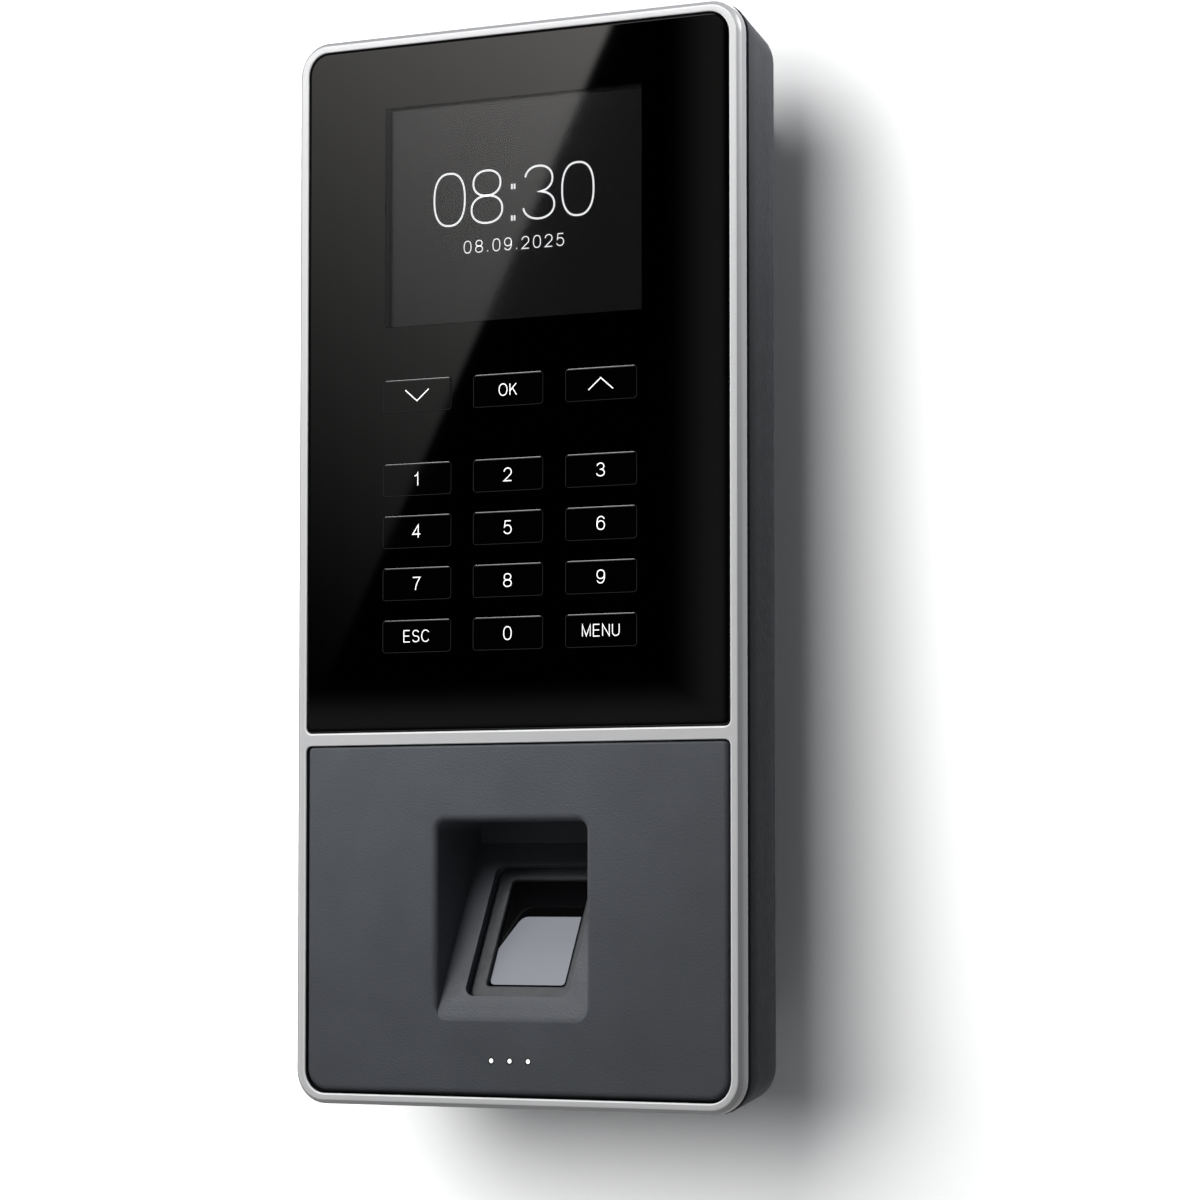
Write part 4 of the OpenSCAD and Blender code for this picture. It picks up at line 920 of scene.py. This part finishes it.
def make_socket_contacts():
    solid = Solid()
    for i in range(CONTACTS):
        x = NETWORK.x + (i - (CONTACTS - 1) / 2) * CONTACT_PITCH
        strip = Rect(x - CONTACT_W / 2, x + CONTACT_W / 2, CONTACT_LOW, CONTACT_HIGH, CONTACT_R, CONTACT_R)
        solid.block(strip, CONTACT_FRONT, CONTACT_BACK)
    place(solid.piece("socket_contacts"), "plated_steel", GOLD)


# Camera, solved from the photograph's straight edges

CAMERA_AT = (439.48, -773.62, -61.03)
CAMERA_YAW, CAMERA_PITCH = math.radians(29.867), math.radians(3.596)
CAMERA_LENS, CAMERA_FILM = 134.01, 36.0


def make_camera():
    data = bpy.data.cameras.new("camera")
    data.lens = CAMERA_LENS
    data.sensor_width = CAMERA_FILM
    camera = add_object("camera", data)
    camera.location = Vector(CAMERA_AT) * MM
    look = Vector((-math.sin(CAMERA_YAW) * math.cos(CAMERA_PITCH),
                   math.cos(CAMERA_YAW) * math.cos(CAMERA_PITCH), math.sin(CAMERA_PITCH)))
    camera.rotation_euler = look.to_track_quat("-Z", "Y").to_euler()
    bpy.context.scene.camera = camera


# Stage, in metres: a white wall and a pale floor

WALL_Y, WALL_TOP, WALL_WHITE = 0.0006, 2.0, 0.98
FLOOR_Z, FLOOR_GREY, FLOOR_GLOW = -0.42, 0.28, 0.6
STAGE_HALF = 3.0


def board(name, corners):
    mesh = bpy.data.meshes.new(name)
    mesh.from_pydata(corners, [], [tuple(range(len(corners)))])
    piece = add_object(name, mesh)
    return piece


def upright(name, y, left, right, low, high):
    """A board that faces the front."""
    return board(name, [(left, y, low), (right, y, low), (right, y, high), (left, y, high)])


def maths(tree, kind, a, b):
    """A maths node on two numbers or sockets."""
    node = tree.nodes.new("ShaderNodeMath")
    node.operation = kind
    for i, value in enumerate((a, b)):
        if isinstance(value, (int, float)):
            node.inputs[i].default_value = value
        else:
            tree.links.new(value, node.inputs[i])
    return node.outputs["Value"]


def product(tree, *factors):
    result = factors[0]
    for factor in factors[1:]:
        result = maths(tree, "MULTIPLY", result, factor)
    return result


def seen_directly(tree):
    """One for rays from the camera, or from a mirror or through glass; else nought."""
    path = tree.nodes.new("ShaderNodeLightPath")
    mirrored = maths(tree, "MAXIMUM", path.outputs["Is Glossy Ray"], path.outputs["Is Transmission Ray"])
    return maths(tree, "MAXIMUM", path.outputs["Is Camera Ray"], mirrored)


def bare_material(name):
    """A material with nothing but its output."""
    material = bpy.data.materials.new(name)
    material.use_nodes = True
    material.node_tree.nodes.clear()
    return material, material.node_tree, material.node_tree.nodes.new("ShaderNodeOutputMaterial")


def stage_material(name, grey, glow):
    """A matt pale surface, seen a little brighter than lit, and from its front only."""
    material, tree, out = bare_material(name)
    matt = tree.nodes.new("ShaderNodeBsdfDiffuse")
    matt.inputs["Color"].default_value = (grey, grey, grey, 1)
    shine = tree.nodes.new("ShaderNodeEmission")
    tree.links.new(product(tree, seen_directly(tree), glow), shine.inputs["Strength"])
    both = tree.nodes.new("ShaderNodeAddShader")
    tree.links.new(matt.outputs["BSDF"], both.inputs[0])
    tree.links.new(shine.outputs["Emission"], both.inputs[1])
    clear = tree.nodes.new("ShaderNodeBsdfTransparent")
    facing = tree.nodes.new("ShaderNodeNewGeometry")
    mix = tree.nodes.new("ShaderNodeMixShader")
    tree.links.new(facing.outputs["Backfacing"], mix.inputs["Fac"])
    tree.links.new(both.outputs["Shader"], mix.inputs[1])
    tree.links.new(clear.outputs["BSDF"], mix.inputs[2])
    tree.links.new(mix.outputs["Shader"], out.inputs["Surface"])
    return material


def make_wall():
    wall = upright("wall", WALL_Y, -STAGE_HALF, STAGE_HALF, FLOOR_Z, WALL_TOP)
    dress(wall, stage_material("wall_white", WALL_WHITE, 0.0))
    wall.visible_diffuse = False
    wall.visible_glossy = False
    wall.visible_shadow = False
    return wall


def make_floor():
    corners = [(-STAGE_HALF, -STAGE_HALF), (STAGE_HALF, -STAGE_HALF), (STAGE_HALF, STAGE_HALF),
               (-STAGE_HALF, STAGE_HALF)]
    floor = board("floor", [(x, y, FLOOR_Z) for x, y in corners])
    dress(floor, stage_material("floor_pale", FLOOR_GREY, FLOOR_GLOW))
    return floor


# Reflector card, in metres, which only the gloss shows: a glare with a slanting edge, a rim and a low sheen

CARD_Y, CARD_LEFT, CARD_RIGHT, CARD_LOW, CARD_HIGH = -0.6, -1.2, 1.4, -0.9, 0.85
CARD_COLOUR = (1.0, 0.975, 0.95)
RIGHTWARD, DOWNWARD = (1, 0, 0), (0, 0, -1)
GLARE_WAY, GLARE_START, GLARE_MOST, GLARE_POWER, GLARE_GAIN = (0.78, 0, 1.08), 0.345, 0.38, 2.2, 23.0
GLARE_EDGE_TOP, GLARE_EDGE_LOW = Vector((-0.296, 0.2261)), Vector((-0.4122, 0.002))
GLARE_EDGE_FALL, GLARE_LEFT_RISE, GLARE_TOP_RISE = (-0.0027, 0.0006), (-0.75, -0.55), (-0.42, -0.3)
RIM_GLOW = 0.19
RIM_RIGHT_RISE, RIM_RIGHT_FALL = (-0.276, -0.256), (-0.2548, -0.2538)
RIM_LOW_RISE, RIM_LOW_FALL = (-0.006, 0.0075), (0.0084, 0.0094)
SHEEN, SHEEN_WAY, SHEEN_RISE, SHEEN_FALL = 0.6, (0.45, 0, -1), (0.06, 0.075), (0.06, 0.5)


def along(tree, direction, start=0.0):
    """Distance of the card's point along a direction, from a start value."""
    spot = tree.nodes.new("ShaderNodeTexCoord")
    node = tree.nodes.new("ShaderNodeVectorMath")
    node.operation = "DOT_PRODUCT"
    node.inputs[1].default_value = direction
    tree.links.new(spot.outputs["Object"], node.inputs[0])
    return maths(tree, "ADD", node.outputs["Value"], start)


def rise(tree, source, span):
    """Goes softly from nought to one over a span."""
    node = tree.nodes.new("ShaderNodeMapRange")
    node.interpolation_type = "SMOOTHSTEP"
    node.inputs["From Min"].default_value, node.inputs["From Max"].default_value = span
    tree.links.new(source, node.inputs["Value"])
    return node.outputs["Result"]


def fall(tree, source, span):
    """Goes softly from one to nought over a span."""
    return maths(tree, "SUBTRACT", 1.0, rise(tree, source, span))


def card_glare(tree):
    """A light that grows to the upper right and stops at a slanting edge."""
    edge = (GLARE_EDGE_TOP - GLARE_EDGE_LOW).normalized()
    normal = Vector((edge.y, -edge.x))
    past_edge = along(tree, (normal.x, 0, normal.y), -normal.dot(GLARE_EDGE_LOW))
    level = maths(tree, "MAXIMUM", along(tree, GLARE_WAY, GLARE_START), 0.0)
    level = maths(tree, "POWER", maths(tree, "MINIMUM", level, GLARE_MOST), GLARE_POWER)
    return product(tree, level, GLARE_GAIN, fall(tree, past_edge, GLARE_EDGE_FALL),
                   rise(tree, along(tree, RIGHTWARD), GLARE_LEFT_RISE),
                   rise(tree, along(tree, DOWNWARD), GLARE_TOP_RISE))


def card_rim(tree):
    """A faint band along the right and the lower edge of what the panel mirrors."""
    across, down = along(tree, RIGHTWARD), along(tree, DOWNWARD)
    band = maths(tree, "MAXIMUM", rise(tree, across, RIM_RIGHT_RISE), rise(tree, down, RIM_LOW_RISE))
    return product(tree, band, fall(tree, across, RIM_RIGHT_FALL), fall(tree, down, RIM_LOW_FALL), RIM_GLOW)


def card_sheen(tree):
    """A soft light below, for views from above."""
    slant = along(tree, SHEEN_WAY)
    return product(tree, rise(tree, slant, SHEEN_RISE), SHEEN, fall(tree, slant, SHEEN_FALL))


def make_card():
    card = upright("reflector_card", CARD_Y, CARD_LEFT, CARD_RIGHT, CARD_LOW, CARD_HIGH)
    card.visible_camera = False
    card.visible_diffuse = False
    card.visible_shadow = False
    material, tree, out = bare_material("card_gradient")
    glow = tree.nodes.new("ShaderNodeEmission")
    glow.inputs["Color"].default_value = (*CARD_COLOUR, 1)
    light = maths(tree, "ADD", card_glare(tree), card_rim(tree))
    tree.links.new(maths(tree, "ADD", light, card_sheen(tree)), glow.inputs["Strength"])
    tree.links.new(glow.outputs["Emission"], out.inputs["Surface"])
    dress(card, material)


# Light, in metres and watts

AMBIENT, PALE, SKY = 0.12, 0.85, (0.95, 0.98, 1.04)
CENTRE, FACE, LOWER_FACE = (0, 0, 0), (0, -0.04, 0), (0, -0.04, -0.07)
HIGH_LEFT = (-0.3, -0.22, 0.5)


def make_world():
    world = bpy.data.worlds.new("studio")
    bpy.context.scene.world = world
    world.use_nodes = True
    tree = world.node_tree
    sky = tree.nodes["Background"]
    sky.inputs["Color"].default_value = (*SKY, 1)
    seen = product(tree, seen_directly(tree), PALE - AMBIENT)
    tree.links.new(maths(tree, "ADD", seen, AMBIENT), sky.inputs["Strength"])


def lamp(name, power, where, target, size, only=(), all_but=(), **values):
    """An area lamp that lights only some pieces, or all but some."""
    data = bpy.data.lights.new(name, "AREA")
    data.energy = power
    data.size = size
    for key, value in values.items():
        setattr(data, key, value)
    thing = add_object(name, data)
    thing.location = where
    thing.rotation_euler = (Vector(target) - Vector(where)).to_track_quat("-Z", "Y").to_euler()
    thing.visible_camera = False
    group = bpy.data.collections.new(name + "_reach")
    for piece in (*only, *all_but):
        group.objects.link(piece)
    thing.light_linking.receiver_collection = group
    if all_but:
        for member in group.collection_objects:
            member.light_linking.link_state = "EXCLUDE"
    return thing


# The object, then its stage and light

dress_nodes()
bezel = make_bezel()
gloss_panel = make_upper_panel()
caps = [make_key(name) for name in KEYS]
for name in KEYS:
    make_legend(name)
make_screen_figures()
make_screen_border_and_shade()
lower_panel = make_lower_panel()
make_light_collars()
make_sensor_frame()
make_sensor_reflection_plate()
housing = make_housing()
make_socket_contacts()

make_camera()
wall, floor = make_wall(), make_floor()
make_card()
make_world()
gloss = [gloss_panel, frame["nodes"]["display_lens"], *caps]
lamp("wall_lamp", 4.3, (-0.12, -0.38, 0.146), (-0.12, 0, 0.146), 0.557, only=[wall, floor], shape="DISK")
lamp("wall_fill", 0.19, (0.35, -0.6, 0.0), (0.05, 0, 0), 0.6, only=[wall], color=(0.93, 0.95, 1.0))
key = lamp("key", 1.5, (-0.36, -0.38, 0.22), CENTRE, 0.2, all_but=[wall, lower_panel, *gloss])
key.visible_glossy = False
lamp("front", 2.45, (-0.25, -0.55, 0.4), FACE, 0.2, all_but=[wall, lower_panel, *gloss])
lamp("top", 0.8, HIGH_LEFT, FACE, 0.1, all_but=[wall, bezel, *gloss])
lamp("back", 3.0, (-0.3, 0.6, 0.4), CENTRE, 0.3, all_but=[wall, *gloss])
lamp("under", 0.7, (0.1, 0.25, -0.5), (0, -0.02, -0.09), 0.2, all_but=[wall, *gloss])
lamp("edge", 0.58, (0.2, -0.045, 0.2), (0.05, -0.04, 0.06), 0.05, only=[bezel])
lamp("side", 0.085, (0.095, -0.012, 0.14), (0.049, -0.025, 0.1), 0.04, only=[housing])
lamp("rake", 0.36, (-0.06, -0.17, 0.08), LOWER_FACE, 0.1, only=[lower_panel])
lamp("glint", 3.3, HIGH_LEFT, FACE, 0.25, only=caps)

bpy.context.scene.view_settings.view_transform = "Standard"
